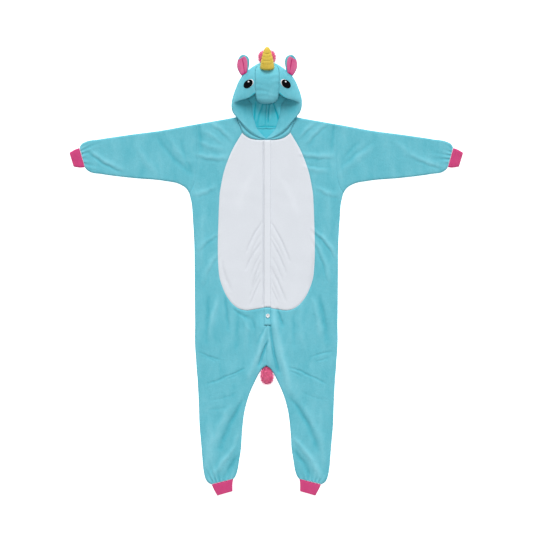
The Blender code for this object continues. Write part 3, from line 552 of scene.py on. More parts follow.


# Cloth as a surface that a wall thickens, with painted shade and highlight stored on its points.
def makePiece(name, points, faces, material, nodes=(), wall=0, outwards=False, lookingUp=None,
              inside=None, pile=None):
    points = np.asarray(points, float).reshape(-1, 3)
    mesh = bpy.data.meshes.new(name)
    mesh.from_pydata((points * mm).tolist(), [], faces if isinstance(faces, list) else faces.tolist())
    if pile is not None:
        openness = mesh.attributes.new("paintedFoldShade", "FLOAT", "POINT")
        openness.data.foreach_set("value", np.asarray(pile, np.float32).ravel())
    if lookingUp is not None:
        mesh.update()
        normals = np.array([face.normal.z * face.area for face in mesh.polygons])
        if (normals.sum() > 0) != lookingUp:
            mesh.flip_normals()
    mesh.shade_smooth()
    mesh.materials.append(material)
    obj = placed(name, mesh)
    if wall:
        solidify = obj.modifiers.new("wall", "SOLIDIFY")
        solidify.thickness = wall * mm
        solidify.offset = 1 if outwards else -1
        if inside:
            mesh.materials.append(inside)
            solidify.material_offset = 1
    return keepPiece(obj, nodes)


# Faces agree and look away from the piece's own middle line, for closed or tubular forms.
def faceOutwards(obj):
    with editing(obj.data) as data:
        bmesh.ops.remove_doubles(data, verts=data.verts, dist=0.01 * mm)
        bmesh.ops.recalc_face_normals(data, faces=data.faces)
        lowest = min(data.faces, key=lambda face: face.calc_center_median().z)
        if lowest.normal.z > 0:
            bmesh.ops.reverse_faces(data, faces=data.faces)
    obj.data.shade_smooth()


# Distances across a row: close together where the cloth rolls over, even between.
def acrossRow(length, count):
    ends = np.array((0, 0.5, 1.4, 2.8, 4.6, 6.8, 9.2))
    middle = np.linspace(ends[-1], length - ends[-1], count)[1:-1]
    return np.concatenate([ends, middle, length - ends[::-1]])


def panelPlan(innerPoints, innerCorners, outerMarks, count):
    inner = smoothCurve(innerPoints, innerCorners)
    innerFine, outerFine = moreMarks([inner["marks"], outerMarks], cloth["gridStep"], 2)
    starts = onCurve(inner, innerFine)
    armLength = armhole["lengths"][-1]
    onArm = outerFine <= armLength
    ends = np.where(onArm[:, None], onCurve(armhole, np.minimum(outerFine, armLength)),
                    onCurve(outerSide, np.maximum(0, outerFine - armLength)))
    rows = []
    for start, end in zip(starts, ends):
        length = np.hypot(*(end - start))
        share = acrossRow(length, count) / length
        rows.append(start + (end - start) * share[:, None])
    return np.stack(rows)


def outerMarksOf(cut):
    onArmhole = [row[2] * armhole["lengths"][-1] for row in cut["armRows"]]
    line = outerSide["line"]
    onSide = []
    for row in cut["bodyRows"] + legRows:
        nearest = np.argmin(np.hypot(line[:, 0] - row[2], line[:, 1] - row[3]))
        onSide.append(armhole["lengths"][-1] + outerSide["lengths"][nearest])
    return np.array(onArmhole + onSide)


# Material parts that more than one finish uses

def newGroup(name, inputs, outputs):
    tree = bpy.data.node_groups.new(name, "ShaderNodeTree")
    for label, kind, value in inputs:
        socket = tree.interface.new_socket(name=label, in_out="INPUT", socket_type=kind)
        if value is not None:
            socket.default_value = value
    for label, kind in outputs:
        tree.interface.new_socket(name=label, in_out="OUTPUT", socket_type=kind)
    return tree, tree.nodes.new("NodeGroupInput"), tree.nodes.new("NodeGroupOutput")


def addNode(tree, kind, *inputs, **settings):
    node = tree.nodes.new(kind)
    for label, value in settings.items():
        setattr(node, label, value)
    for socket, value in inputs:
        if isinstance(value, bpy.types.NodeSocket):
            tree.links.new(value, node.inputs[socket])
        else:
            node.inputs[socket].default_value = value
    return node


def mathNode(tree, operation, first, second):
    return addNode(tree, "ShaderNodeMath", (0, first), (1, second), operation=operation).outputs[0]


def noiseNode(tree, vector, scale, detail, roughness=0.5, distortion=0.0):
    noise = addNode(tree, "ShaderNodeTexNoise", ("Vector", vector), ("Scale", scale), ("Detail", detail),
                    ("Roughness", roughness), ("Distortion", distortion))
    return noise.outputs["Fac"]


# Nap: brushed patches that lean one way look lighter, the others darker, with fine mottling over them.
def buildNapGroup():
    tree, start, end = newGroup(
        "brushedNap",
        (
            ("Vector", "NodeSocketVector", None),
            ("Colour", "NodeSocketColor", (0.5, 0.5, 0.5, 1)),
            # painted shade below 0 and painted highlight above it, added to the nap's value
            ("PaintedShade", "NodeSocketFloat", 0.0),
            ("Patch Scale", "NodeSocketFloat", 14.0),
            ("Patch Depth", "NodeSocketFloat", 0.25),
            ("Fleck Depth", "NodeSocketFloat", 0.12),
        ),
        (("Colour", "NodeSocketColor"), ("Lean", "NodeSocketFloat")),
    )
    stretch = tree.nodes.new("ShaderNodeMapping")
    stretch.inputs["Scale"].default_value = (1.0, 0.42, 1.0)
    stretch.inputs["Rotation"].default_value = (0, 0, 0.25)
    tree.links.new(start.outputs["Vector"], stretch.inputs["Vector"])
    patches = noiseNode(tree, stretch.outputs["Vector"], start.outputs["Patch Scale"], 5, 0.68, 0.25)
    flecks = noiseNode(tree, start.outputs["Vector"], 190.0, 3, 0.6, 0.3)
    lean = mathNode(tree, "MULTIPLY", mathNode(tree, "SUBTRACT", patches, 0.5), start.outputs["Patch Depth"])
    fleck = mathNode(tree, "MULTIPLY", mathNode(tree, "SUBTRACT", flecks, 0.5), start.outputs["Fleck Depth"])
    value = mathNode(tree, "ADD", start.outputs["PaintedShade"], mathNode(tree, "ADD", lean, fleck))
    value = mathNode(tree, "ADD", 1.0, value)
    tint = tree.nodes.new("ShaderNodeHueSaturation")
    tree.links.new(start.outputs["Colour"], tint.inputs["Color"])
    tree.links.new(value, tint.inputs["Value"])
    # painted shade also makes the colour more saturated, and painted highlight makes it paler
    pale = mathNode(tree, "MULTIPLY", mathNode(tree, "ADD", lean, start.outputs["PaintedShade"]), 0.75)
    tree.links.new(mathNode(tree, "SUBTRACT", 1.0, pale), tint.inputs["Saturation"])
    tree.links.new(tint.outputs["Color"], end.inputs["Colour"])
    tree.links.new(lean, end.inputs["Lean"])
    return tree


# Pile: the height of short fibres, in clumps.
def buildPileGroup():
    tree, start, end = newGroup(
        "shortPile",
        (
            ("Vector", "NodeSocketVector", None),
            ("Fibre Scale", "NodeSocketFloat", 900.0),
            ("Clump Scale", "NodeSocketFloat", 130.0),
            ("Clumping", "NodeSocketFloat", 0.5),
        ),
        (("Height", "NodeSocketFloat"),),
    )
    fibres = noiseNode(tree, start.outputs["Vector"], start.outputs["Fibre Scale"], 2, 0.6)
    clumps = noiseNode(tree, start.outputs["Vector"], start.outputs["Clump Scale"], 3, 0.6, 0.8)
    tree.links.new(
        mathNode(tree, "ADD", fibres, mathNode(tree, "MULTIPLY", clumps, start.outputs["Clumping"])),
        end.inputs["Height"],
    )
    return tree


napGroup = buildNapGroup()
pileGroup = buildPileGroup()


def useGroup(tree, group, vector, **values):
    node = tree.nodes.new("ShaderNodeGroup")
    node.node_tree = group
    tree.links.new(vector, node.inputs["Vector"])
    for label, value in values.items():
        node.inputs[label].default_value = value
    return node


def clothMaterial(name, finish):
    material = bpy.data.materials.new(name)
    material.use_nodes = True
    tree = material.node_tree
    shader = tree.nodes["Principled BSDF"]
    shader.inputs["Roughness"].default_value = finish["roughness"]
    shader.inputs["Sheen Weight"].default_value = finish["sheen"]
    shader.inputs["Sheen Roughness"].default_value = finish.get("sheenRoughness", 0.5)
    shader.inputs["Sheen Tint"].default_value = (*finish.get("sheenTint", finish["colour"]), 1)
    shader.inputs["Specular IOR Level"].default_value = finish.get("specular", 0.2)
    place = tree.nodes.new("ShaderNodeTexCoord").outputs["Object"]
    nap = useGroup(tree, napGroup, place, **{
        "Patch Scale": finish["patchScale"],
        "Patch Depth": finish["patchDepth"],
        "Fleck Depth": finish["fleckDepth"],
    })
    nap.inputs["Colour"].default_value = (*finish["colour"], 1)
    # painted shade and highlight from the points, scaled by how strongly this finish paints it
    if "paintedShadeDepth" in finish:
        shadeAttribute = tree.nodes.new("ShaderNodeAttribute")
        shadeAttribute.attribute_name = "paintedFoldShade"
        tree.links.new(mathNode(tree, "MULTIPLY", shadeAttribute.outputs["Fac"], finish["paintedShadeDepth"]), nap.inputs["PaintedShade"])
    tree.links.new(nap.outputs["Colour"], shader.inputs["Base Color"])
    pile = useGroup(tree, pileGroup, place, **{
        "Fibre Scale": finish["fibreScale"],
        "Clump Scale": finish["clumpScale"],
        "Clumping": finish["clumping"],
    })
    bump = tree.nodes.new("ShaderNodeBump")
    bump.inputs["Strength"].default_value = finish["bumpStrength"]
    bump.inputs["Distance"].default_value = finish["bumpDepth"] * mm
    tree.links.new(pile.outputs["Height"], bump.inputs["Height"])
    tree.links.new(bump.outputs["Normal"], shader.inputs["Normal"])
    return material


finishes = {
    "turquoiseFleece": {
        "colour": (0.150, 0.530, 0.635), "roughness": 0.85, "sheen": 0.12, "sheenTint": (0.6, 0.85, 0.95),
        "patchScale": 21.0, "patchDepth": 0.34, "paintedShadeDepth": 0.17, "fleckDepth": 0.18,
        "fibreScale": 850.0, "clumpScale": 75.0, "clumping": 1.8, "bumpStrength": 0.6, "bumpDepth": 1.0,
    },
    # painted shade: a more saturated copy of the turquoise fleece with less sheen, for inside faces, standing in for
    # the coloured shade inside the hood and back
    "turquoiseShadedInside": {
        "colour": (0.092, 0.560, 0.680), "roughness": 0.9, "sheen": 0.05, "sheenTint": (0.4, 0.8, 0.95),
        "paintedShadeDepth": 0.36, "patchScale": 20.0, "patchDepth": 0.25, "fleckDepth": 0.15,
        "fibreScale": 850.0, "clumpScale": 120.0, "clumping": 1.2, "bumpStrength": 0.6, "bumpDepth": 0.7,
    },
    "whiteFleece": {
        "colour": (0.735, 0.768, 0.820), "roughness": 0.88, "sheen": 0.08, "sheenTint": (1, 1, 1), "paintedShadeDepth": 0.13,
        "patchScale": 13.0, "patchDepth": 0.07, "fleckDepth": 0.05,
        "fibreScale": 850.0, "clumpScale": 160.0, "clumping": 1.0, "bumpStrength": 0.5, "bumpDepth": 0.7,
    },
    "fuchsiaRib": {
        "colour": (0.635, 0.066, 0.220), "roughness": 0.8, "sheen": 0.25, "sheenTint": (1.0, 0.5, 0.7),
        "patchScale": 30.0, "patchDepth": 0.12, "fleckDepth": 0.14,
        "fibreScale": 1100.0, "clumpScale": 420.0, "clumping": 0.6, "bumpStrength": 0.5, "bumpDepth": 0.4,
    },
    "fuchsiaPile": {
        "colour": (0.98, 0.22, 0.43), "roughness": 0.75, "sheen": 0.4, "sheenTint": (1.0, 0.6, 0.8),
        "patchScale": 60.0, "patchDepth": 0.4, "fleckDepth": 0.4,
        "fibreScale": 900.0, "clumpScale": 260.0, "clumping": 1.0, "bumpStrength": 0.6, "bumpDepth": 1.0,
    },
    "pinkPlush": {
        "colour": (0.79, 0.125, 0.325), "roughness": 0.8, "sheen": 0.12, "sheenTint": (1.0, 0.7, 0.8),
        "paintedShadeDepth": 0.42, "patchScale": 40.0, "patchDepth": 0.45, "fleckDepth": 0.18,
        "fibreScale": 950.0, "clumpScale": 220.0, "clumping": 1.0, "bumpStrength": 0.6, "bumpDepth": 0.8,
    },
    "yellowPlush": {
        "colour": (0.80, 0.58, 0.085), "roughness": 0.8, "sheen": 0.08, "sheenTint": (1.0, 0.9, 0.5),
        "patchScale": 40.0, "patchDepth": 0.22, "fleckDepth": 0.16,
        "fibreScale": 950.0, "clumpScale": 220.0, "clumping": 0.9, "bumpStrength": 0.6, "bumpDepth": 0.7,
    },
    "whiteFelt": {
        "colour": (0.85, 0.86, 0.88), "roughness": 0.8, "sheen": 0.1, "sheenTint": (1, 1, 1),
        "patchScale": 60.0, "patchDepth": 0.06, "fleckDepth": 0.08,
        "fibreScale": 1300.0, "clumpScale": 500.0, "clumping": 0.5, "bumpStrength": 0.4, "bumpDepth": 0.3,
    },
    "blackFelt": {
        "colour": (0.003, 0.003, 0.004), "roughness": 0.8, "sheen": 0.0, "sheenTint": (0.5, 0.5, 0.55),
        "specular": 0.04, "patchScale": 60.0, "patchDepth": 0.3, "fleckDepth": 0.3,
        "fibreScale": 1300.0, "clumpScale": 500.0, "clumping": 0.5, "bumpStrength": 0.4, "bumpDepth": 0.3,
    },
    "seamThread": {
        "colour": (0.80, 0.82, 0.85), "roughness": 0.55, "sheen": 0.1, "sheenTint": (1, 1, 1),
        "patchScale": 80.0, "patchDepth": 0.1, "fleckDepth": 0.1,
        "fibreScale": 2200.0, "clumpScale": 900.0, "clumping": 0.5, "bumpStrength": 0.4, "bumpDepth": 0.1,
    },
}
materials = {name: clothMaterial(name, finish) for name, finish in finishes.items()}
turquoise, white = materials["turquoiseFleece"], materials["whiteFleece"]
print("materials ready")


def addFronts():
    innerPoints = [row[:2] for row in frontCut["armRows"] + frontCut["bodyRows"] + legRows]
    arm = len(frontCut["armRows"])
    corners = (frontCut["neckCorner"], arm + frontCut["hemRow"], arm + len(frontCut["bodyRows"]) - 1)
    plan = panelPlan(innerPoints, corners, outerMarksOf(frontCut), frontCut["columns"])
    for side, word in sides:
        x, y = side * plan[..., 0], plan[..., 1]
        points = np.stack([x, y, frontHeight(x, y)], axis=-1)
        obj = makePiece(f"front{word}", points, gridFaces(*plan.shape[:2]), turquoise,
                        (f"front_{word.lower()}",), cloth["fleeceWall"], lookingUp=True, pile=paintedFoldShade(x, y))


def addBack():
    innerPoints = [row[:2] for row in backCut["armRows"] + backCut["bodyRows"] + legRows]
    arm = len(backCut["armRows"])
    corners = (backCut["neckRow"], arm + len(backCut["bodyRows"]) - 1)
    plan = panelPlan(innerPoints, corners, outerMarksOf(backCut), backCut["columns"])
    halves, faces = [], []
    for side in (-1, 1):
        x, y = side * plan[..., 0], plan[..., 1]
        rows = np.stack([x, y, backHeight(x, y)], axis=-1)
        rows = rows if side > 0 else rows[:, ::-1]
        faces.append(gridFaces(*plan.shape[:2]) + sum(half.size // 3 for half in halves))
        halves.append(rows)
    points = np.concatenate([half.reshape(-1, 3) for half in halves])
    # the inside faces take the copy of the turquoise that paints the shade inside
    obj = makePiece("backPanel", points, np.concatenate(faces), turquoise, ("back",),
                    cloth["fleeceWall"], lookingUp=False, inside=materials["turquoiseShadedInside"])
    data = bmesh.new()
    data.from_mesh(obj.data)
    bmesh.ops.remove_doubles(data, verts=data.verts, dist=0.01 * mm)
    data.to_mesh(obj.data)
    data.free()
    obj.data.shade_smooth()


tummyCut = {
    "centreY": (508, 468, 425, 383, 343, 288, 213, 140, 20, -30, -75, -120),
    "columns": 72,
    "flat": (0.21, 0.755),
    "area": 0.135,
}


def throughLine(line, shares):
    stops = distancesAlong(line)
    return np.stack([np.interp(shares * stops[-1], stops, line[:, k]) for k in range(2)], axis=-1)


# Rows from the centre seam to the edge, with the neckline as the first and the hem as the last.
def addTummies():
    edgeAt = tummyEdge["marks"][[0, 1, 2, 3, 4, 7, 8, 9, 10, 11, 12, 13, 14, 15]]
    centreY = np.array([neckline["line"][0][1], *tummyCut["centreY"], -157.0])
    hem = tummyEdge["lengths"] >= edgeAt[-1] - 1e-6
    hemLine = tummyEdge["line"][hem][::-1]
    necks = neckline["line"]
    rows = []
    fineStops = moreMarks([centreY, edgeAt], cloth["gridStep"], 2)
    count = tummyCut["columns"]
    for centre, at in zip(*fineStops):
        end = onCurve(tummyEdge, at)
        start = np.array((0.0, centre))
        share = acrossRow(100.0, count) / 100.0
        rows.append(start + (end - start) * share[:, None])
    rows = np.stack(rows)
    neckFade = smoothStep(np.arange(len(rows)), 0, 14)[:, None, None]
    neckRow = throughLine(necks, acrossRow(100.0, count) / 100.0)
    hemRow = throughLine(hemLine, acrossRow(100.0, count) / 100.0)
    rows = rows + (neckRow - rows[0])[None] * (1 - neckFade)
    hemFade = smoothStep(np.arange(len(rows))[::-1], 0, 14)[:, None, None]
    rows = rows + (hemRow - rows[-1])[None] * (1 - hemFade)
    for side, word in sides:
        x, y = side * rows[..., 0], rows[..., 1]
        points = np.stack([x, y, frontHeight(x, y)], axis=-1)
        obj = makePiece(f"tummy{word}", points, gridFaces(*rows.shape[:2]), white,
                        (f"tummy_{word.lower()}",), cloth["fleeceWall"], lookingUp=True, pile=paintedFoldShade(x, y))


def addSleeves():
    tops, bottoms = sleeveTop, sleeveBottom
    keep = np.array([row[4] for row in sleeveCut["rows"]])
    topMarks, bottomMarks = moreMarks([tops["marks"], bottoms["marks"]], cloth["gridStep"], 2)
    keeps = np.interp(topMarks, tops["marks"], keep)
    count = sleeveCut["ringCount"]
    over = acrossRow(100.0, count // 2) / 100.0
    armShape = onCurve(armhole, over * armhole["lengths"][-1])
    chord = armhole["line"][0] + (armhole["line"][-1] - armhole["line"][0]) * over[:, None]
    bulge = armShape - chord
    for side, word in sides:
        rings = []
        for top, bottom, kept in zip(onCurve(tops, topMarks), onCurve(bottoms, bottomMarks), keeps):
            plan = top + (bottom - top) * over[:, None] + bulge * kept
            x, y = side * plan[:, 0], plan[:, 1]
            upper = np.stack([x, y, frontHeight(x, y)], axis=-1)
            lower = np.stack([x, y, backHeight(x, y)], axis=-1)[::-1]
            rings.append(np.concatenate([upper, lower]))
        tucked = rings[0] - np.array((side * 1.8, 0, 0))
        tucked[:, 2] += (cloth["seamHeight"] - tucked[:, 2]) * 0.3
        rings = np.stack([tucked, *rings])
        obj = makePiece(f"sleeve{word}", rings, gridFaces(*rings.shape[:2], closed=True), turquoise,
                        (f"sleeve_{word.lower()}",), cloth["fleeceWall"],
                        pile=paintedFoldShade(rings[..., 0], rings[..., 1]))
        faceOutwards(obj)


cuffs = {
    # upper edge x and y, lower edge x and y, from the sewn end to the free end
    "wrist": ((811, 534.5, 787.5, 451), (827, 529, 802, 449), (854, 514, 835, 453)),
    "ankle": ((237, -924.8, 143.2, -900.6), (232, -937, 145.5, -915), (213, -973, 146, -954)),
    "ribPitch": 3.1,
    "pointsPerRib": 4,
    "rowStep": 3.0,
    "ribHeight": 0.45,
    "halfHeight": 4.4,
    "wall": 2.2,
    "flats": {"wrist": ((0.18, 0.05), 0.0085), "ankle": ((0.195, 0.055), 0.0102)},
}


def addCuffs():
    for kind in ("wrist", "ankle"):
        table = np.array(cuffs[kind], float)
        tops, bottoms = smoothCurve(table[:, :2]), smoothCurve(table[:, 2:])
        topMarks, bottomMarks = moreMarks([tops["marks"], bottoms["marks"]], cuffs["rowStep"], 2)
        width = np.hypot(*(table[0, :2] - table[0, 2:]))
        ribs = round(width / cuffs["ribPitch"])
        across = np.linspace(0, 1, ribs * cuffs["pointsPerRib"] + 1)
        for side, word in sides:
            rings = []
            ends = zip(onCurve(tops, topMarks), onCurve(bottoms, bottomMarks))
            for step, (start, end) in enumerate(ends):
                plan = start + (end - start) * across[:, None]
                length = np.hypot(*(end - start))
                edge = np.minimum(across, 1 - across) * length
                rib = cuffs["ribHeight"] * np.sin(2 * np.pi * ribs * across) * smoothStep(edge, 0, 5)
                rise = cuffs["halfHeight"] * rollOver(edge)
                draw = 0.8 * math.exp(-((step / 2.2) ** 2))
                wave = 0.5 * np.sin(9 * across + side) * smoothStep(edge, 0, 12)
                top = 5.05 + rise * (1 - 0.2 * draw) + rib + wave
                upper = np.stack([side * plan[:, 0], plan[:, 1], top], axis=-1)
                lower = np.stack([side * plan[:, 0], plan[:, 1], 4.95 - rise + np.abs(rib) * 0.5], axis=-1)[::-1]
                rings.append(np.concatenate([upper, lower[1:-1]]))
            rings = np.stack(rings)
            obj = makePiece(f"{kind}Cuff{word}", rings, gridFaces(*rings.shape[:2], closed=True),
                            materials["fuchsiaRib"], (f"{kind}_cuff_{word.lower()}",), cuffs["wall"])
            faceOutwards(obj)


addFronts()
addBack()
addTummies()
addSleeves()
addCuffs()
print("panels, sleeves and cuffs laid out")


hood = {
    # where each row starts on the rim, and where it ends on the front neckline, with its outward bulge
    "strips": (
        (0.4, 573.4, 12.5, 0.2, 569.7, 9.9, 0.3),
        (14, 577, 13.2, 17, 569.9, 9.9, 0.6),
        (30, 584, 15, 35, 570.0, 9.9, 1),
        (53, 600, 17.5, 69, 576.3, 9.9, 2),
        (72, 614.5, 20, 90, 588.3, 9.9, 2),
        (86, 627, 22, 104, 601.3, 9.9, 2),
        (101, 641, 24.5, 115.8, 630.3, 9.9, 3),
        (117, 657, 27, 126.8, 660.8, 9.9, 3),
        (126, 666.5, 28.5, 129.4, 669.6, 5, 5),
    ),
    # rim, outer edge, and where the row ends on the floor
    "wraps": (
        (136, 681, 30, 142, 683, 17, 112, 651.4),
        (144, 699, 32, 150, 700, 18, 80, 631.4),
        (147, 714, 34, 153, 717, 19, 45, 622.2),
        (140, 727, 36, 152.5, 734, 20, 0.02, 620.4),
        (126, 734, 42, 151, 746, 21, 0.02, 660),
        (104, 741, 49, 147, 762, 21, 0.02, 700),
        (79, 748, 55, 142, 778, 21, 0.02, 740),
        (52.3, 767, 60, 135, 796, 22, 0.02, 775),
        (52.3, 790, 62.5, 124, 822, 22, 0.02, 800),
        (52.3, 815, 64, 111, 842, 23, 0.02, 825),
        (52.3, 840, 62.5, 96, 859, 23, 0.02, 848),
        (52.3, 862, 56, 79, 874, 23, 0.02, 866),
        (45.3, 884.3, 44, 57, 890, 22, 0.02, 878),
        (26.1, 896.3, 37, 36, 901, 21, 0.02, 885),
        (0.5, 899.3, 35, 0.5, 905, 20, 0.02, 888),
    ),
    # inner edge of the turned-in hem, one for each row that has a free rim
    "hems": (
        (1.2, 577.5, 11),
        (12, 586, 9.5),
        (22, 596, 8),
        (34, 610, 7),
        (41.5, 620.5, 6.7),
        (46, 634, 6.7),
        (50.5, 651, 6.7),
        (55.5, 668, 6.7),
        (58.5, 680, 6.7),
        (60.5, 697, 6.7),
        (62, 712, 6.7),
        (66, 727, 7.5),
        (80, 742, 14),
        (90, 755, 28),
        (88, 764, 39),
        (74, 771, 47),
        (56, 788, 53),
    ),
    "lipCrease": 0.5,  # how far the collar sinks outside its lip, as a share of the rim's height
    "topShares": (0.0, 0.3, 0.58, 0.8, 0.93, 1.0),
    "edgeSteps": ((1.5, 0.5), (5.0, 0.17), (12.0, 0.0)),
    "wall": 2.6,
    "rowStep": 4.4,
    "columns": 88,
    "flat": (0.38, 0.36),
    "area": 0.07,
}
# Folds in the hood's back, seen through its mouth
insideFolds = (
    (14, 736, 8, 648, 1, -5.2, 3.2, 0),
    (27, 730, 58, 640, -2, -5.4, 3.8, 0),
    (40, 732, 68, 650, -2, 1.6, 6, 0),
    (20, 730, 16, 660, 1, 1.4, 4, 0),
    (-13, 734, -40, 632, 3, -3.0, 5, 0),
    (-26, 728, -34, 650, 1, 1.2, 7, 0),
    (-48, 730, -53, 640, 0, -3.6, 4, 0),
    (-1, 735, -5, 630, 1, -2.6, 2.2, 0),
    (-46, 627, 46, 627, 0, -3.6, 2.4, 0),
)


def hoodRows():
    rows = []
    for rimX, rimY, rimZ, neckX, neckY, neckZ, bulge in hood["strips"]:
        rim, neck = np.array((rimX, rimY, rimZ)), np.array((neckX, neckY, neckZ))
        outward = np.array((neckX - rimX, neckY - rimY, 0.0))
        outward /= np.linalg.norm(outward)
        control = (rim + neck) / 2 + (np.array((0, 0, 1)) + outward) * bulge
        share = np.linspace(0, 1, 11)[:, None]
        row = (1 - share) ** 2 * rim + 2 * share * (1 - share) * control + share**2 * neck
        fall = rimZ - neckZ
        row[:, 2] -= hood["lipCrease"] * fall * np.exp(-(((share[:, 0] - 0.42) / 0.17) ** 2))
        rows.append(row)
    for rimX, rimY, rimZ, edgeX, edgeY, edgeZ, backX, backY in hood["wraps"]:
        rim, edge, back = (np.array(v, float) for v in ((rimX, rimY, rimZ), (edgeX, edgeY, edgeZ), (backX, backY, 0)))
        points = []
        for share in hood["topShares"]:
            spot = rim + (edge - rim) * share
            spot[2] = edgeZ + (rimZ - edgeZ) * (1 - share**2.2) ** 0.6
            points.append(spot)
        run = np.array((backX - edgeX, backY - edgeY, 0.0))
        reach = np.linalg.norm(run)
        for step, height in hood["edgeSteps"]:
            spot = edge + run / reach * min(step, reach * 0.8)
            spot[2] = edgeZ * height
            points.append(spot)
        points.append((points[-1] + back) / 2)
        points.append(back)
        rows.append(np.array(points))
    return np.array(rows)


def addHood():
    rows = hoodRows()
    free = len(hood["hems"])
    hems = np.array(hood["hems"], float)
    middles = hems + (rows[:free, 0] - hems) * 0.55 + np.array((0, 0, 0.6))
    stops = np.concatenate([[0], np.cumsum(np.linalg.norm(np.diff(rows[:, 0], axis=0), axis=1))])
    stops = stops + np.concatenate([[0], np.cumsum(np.linalg.norm(np.diff(rows[:, 5], axis=0), axis=1))])
    wanted = moreMarks([stops], hood["rowStep"] * 1.6, 2)[0]
    fine = throughPoints(rows, stops, wanted)
    hemWanted = wanted[wanted <= stops[free - 1] + 1e-6]
    hemFine = throughPoints(np.stack([hems, middles], axis=1), stops[:free], hemWanted)
    surface, hemSurface = [], []
    for row in fine:
        marks = distancesAlong(row) + np.arange(len(row)) * 1e-4
        surface.append(throughPoints(row, marks, np.linspace(0, marks[-1], hood["columns"])))
    surface = np.stack(surface)
    for row, rim in zip(hemFine, surface[:, 0]):
        line = np.concatenate([row, rim[None]])
        marks = distancesAlong(line)
        hemSurface.append(throughPoints(line, marks, np.linspace(0, marks[-1], 14)))
    hemSurface = np.stack(hemSurface)
    inside = surface[..., 2] < 2.5
    seamStop = len(hemWanted)
    for side, word in sides:
        outer, hem = surface.copy(), hemSurface.copy()
        for part in (outer, hem):
            part[..., 0] *= side
        x, y = outer[..., 0], outer[..., 1]
        lift = np.maximum(-0.2, foldRise(x, y, insideFolds) + 5.0) * smoothStep(np.hypot(x, y - 690), 90, 40)
        outer[..., 2] = np.where(inside, outer[..., 2] + lift, outer[..., 2] + 0.7 * layOfCloth(1.7 * x, 1.7 * y))
        outer[..., 2] = np.maximum(0.3, outer[..., 2])
        outer[:seamStop, 0, 2] = surface[:seamStop, 0, 2]
        hem[:, -1] = outer[:seamStop, 0]
        points = np.concatenate([outer.reshape(-1, 3), hem.reshape(-1, 3)])
        hemFaces = gridFaces(*hem.shape[:2]) + outer.shape[0] * outer.shape[1]
        faces = np.concatenate([gridFaces(*outer.shape[:2]), hemFaces])
        # Painted shade in the creases of the hood's back, with a little painted highlight on their ridges, and painted
        # shade on the upper end of the turned-in hem, under the brow. The inside faces take the copy of the turquoise
        # that paints the shade inside.
        insideCreaseShade = np.minimum(0.15, 0.65 * np.tanh(foldRise(x, y, insideFolds) / 3.2)) * inside
        shaded = -0.9 * smoothStep(hem[..., 1], 600, 735) * smoothStep(np.arange(hem.shape[1]), 13, 8)
        obj = makePiece(f"hoodSide{word}", points, faces, turquoise,
                        (f"hood_side_{word.lower()}",), hood["wall"], inside=materials["turquoiseShadedInside"],
                        pile=np.concatenate([insideCreaseShade.ravel(), shaded.ravel()]))
        faceOutwards(obj)
        softenRim(obj, outer[:seamStop, 0], 6.0, 6)


# Rounds the fold along a rim by smoothing the vertices near it.
def softenRim(obj, rim, reach, turns):
    with editing(obj.data) as data:
        near = []
        for vertex in data.verts:
            spot = np.array(vertex.co) / mm
            if np.min(np.linalg.norm(rim - spot, axis=1)) < reach and not vertex.is_boundary:
                near.append(vertex)
        for _ in range(turns):
            bmesh.ops.smooth_vert(data, verts=near, factor=0.5, use_axis_x=True, use_axis_y=True, use_axis_z=True)
    obj.data.shade_smooth()


# Rings closed at both ends with a fan, as one closed form.
def closedForm(name, rings, material, nodes):
    rings = np.asarray(rings)
    rowCount, count = rings.shape[:2]
    points = np.concatenate([rings.reshape(-1, 3), [rings[0].mean(axis=0)], [rings[-1].mean(axis=0)]])
    first, last = rowCount * count, rowCount * count + 1
    faces = gridFaces(rowCount, count, closed=True).tolist()
    faces += [(first, (k + 1) % count, k) for k in range(count)]
    base = (rowCount - 1) * count
    faces += [(base + k, base + (k + 1) % count, last) for k in range(count)]
    mesh = bpy.data.meshes.new(name)
    mesh.from_pydata((points * mm).tolist(), [], faces)
    with editing(mesh) as data:
        bmesh.ops.remove_doubles(data, verts=data.verts, dist=0.01 * mm)
        bmesh.ops.recalc_face_normals(data, faces=data.faces)
    mesh.shade_smooth()
    mesh.materials.append(material)
    return keepPiece(placed(name, mesh), nodes)


muzzle = {
    # y, half width, height of the side seam, rise over it, drop under it, and how far the middle sags in y
    "rows": (
        (899.0, 14, 36.0, 1.0, 0.8, 2),
        (896, 26, 35.5, 1.8, 1.2, 3),
        (884, 45, 42.4, 4.6, -1.6, 0),
        (862, 52, 54.4, 5.8, -2.4, 0),
        (840, 52, 60.8, 6.2, -2.4, 0),
        (815, 52, 62.2, 6.6, -2.6, 0),
        (790, 51.8, 60.4, 7.2, -1.6, 0),
        (775, 51, 57.5, 9.4, 6, 0),
        (765, 50.0, 54.0, 12.4, 13, 0),
        (755, 49.0, 51.2, 14.6, 16, 0),
        (746, 46.6, 49.0, 15.0, 15.5, 0),
        (738.5, 42.4, 47.2, 14.0, 14, 0),
        (732, 36.0, 45.8, 11.6, 11.6, 0),
        (728, 28.0, 44.8, 8.6, 8.6, 0),
        (725.4, 18.0, 44.0, 5.0, 5.0, 0),
        (724.4, 7, 43.8, 2.0, 2.0, 0),
    ),
    "ringSteps": 28,
    "ringPoints": 96,
    "rowStep": 3.0,
    "fill": 0.7,
}


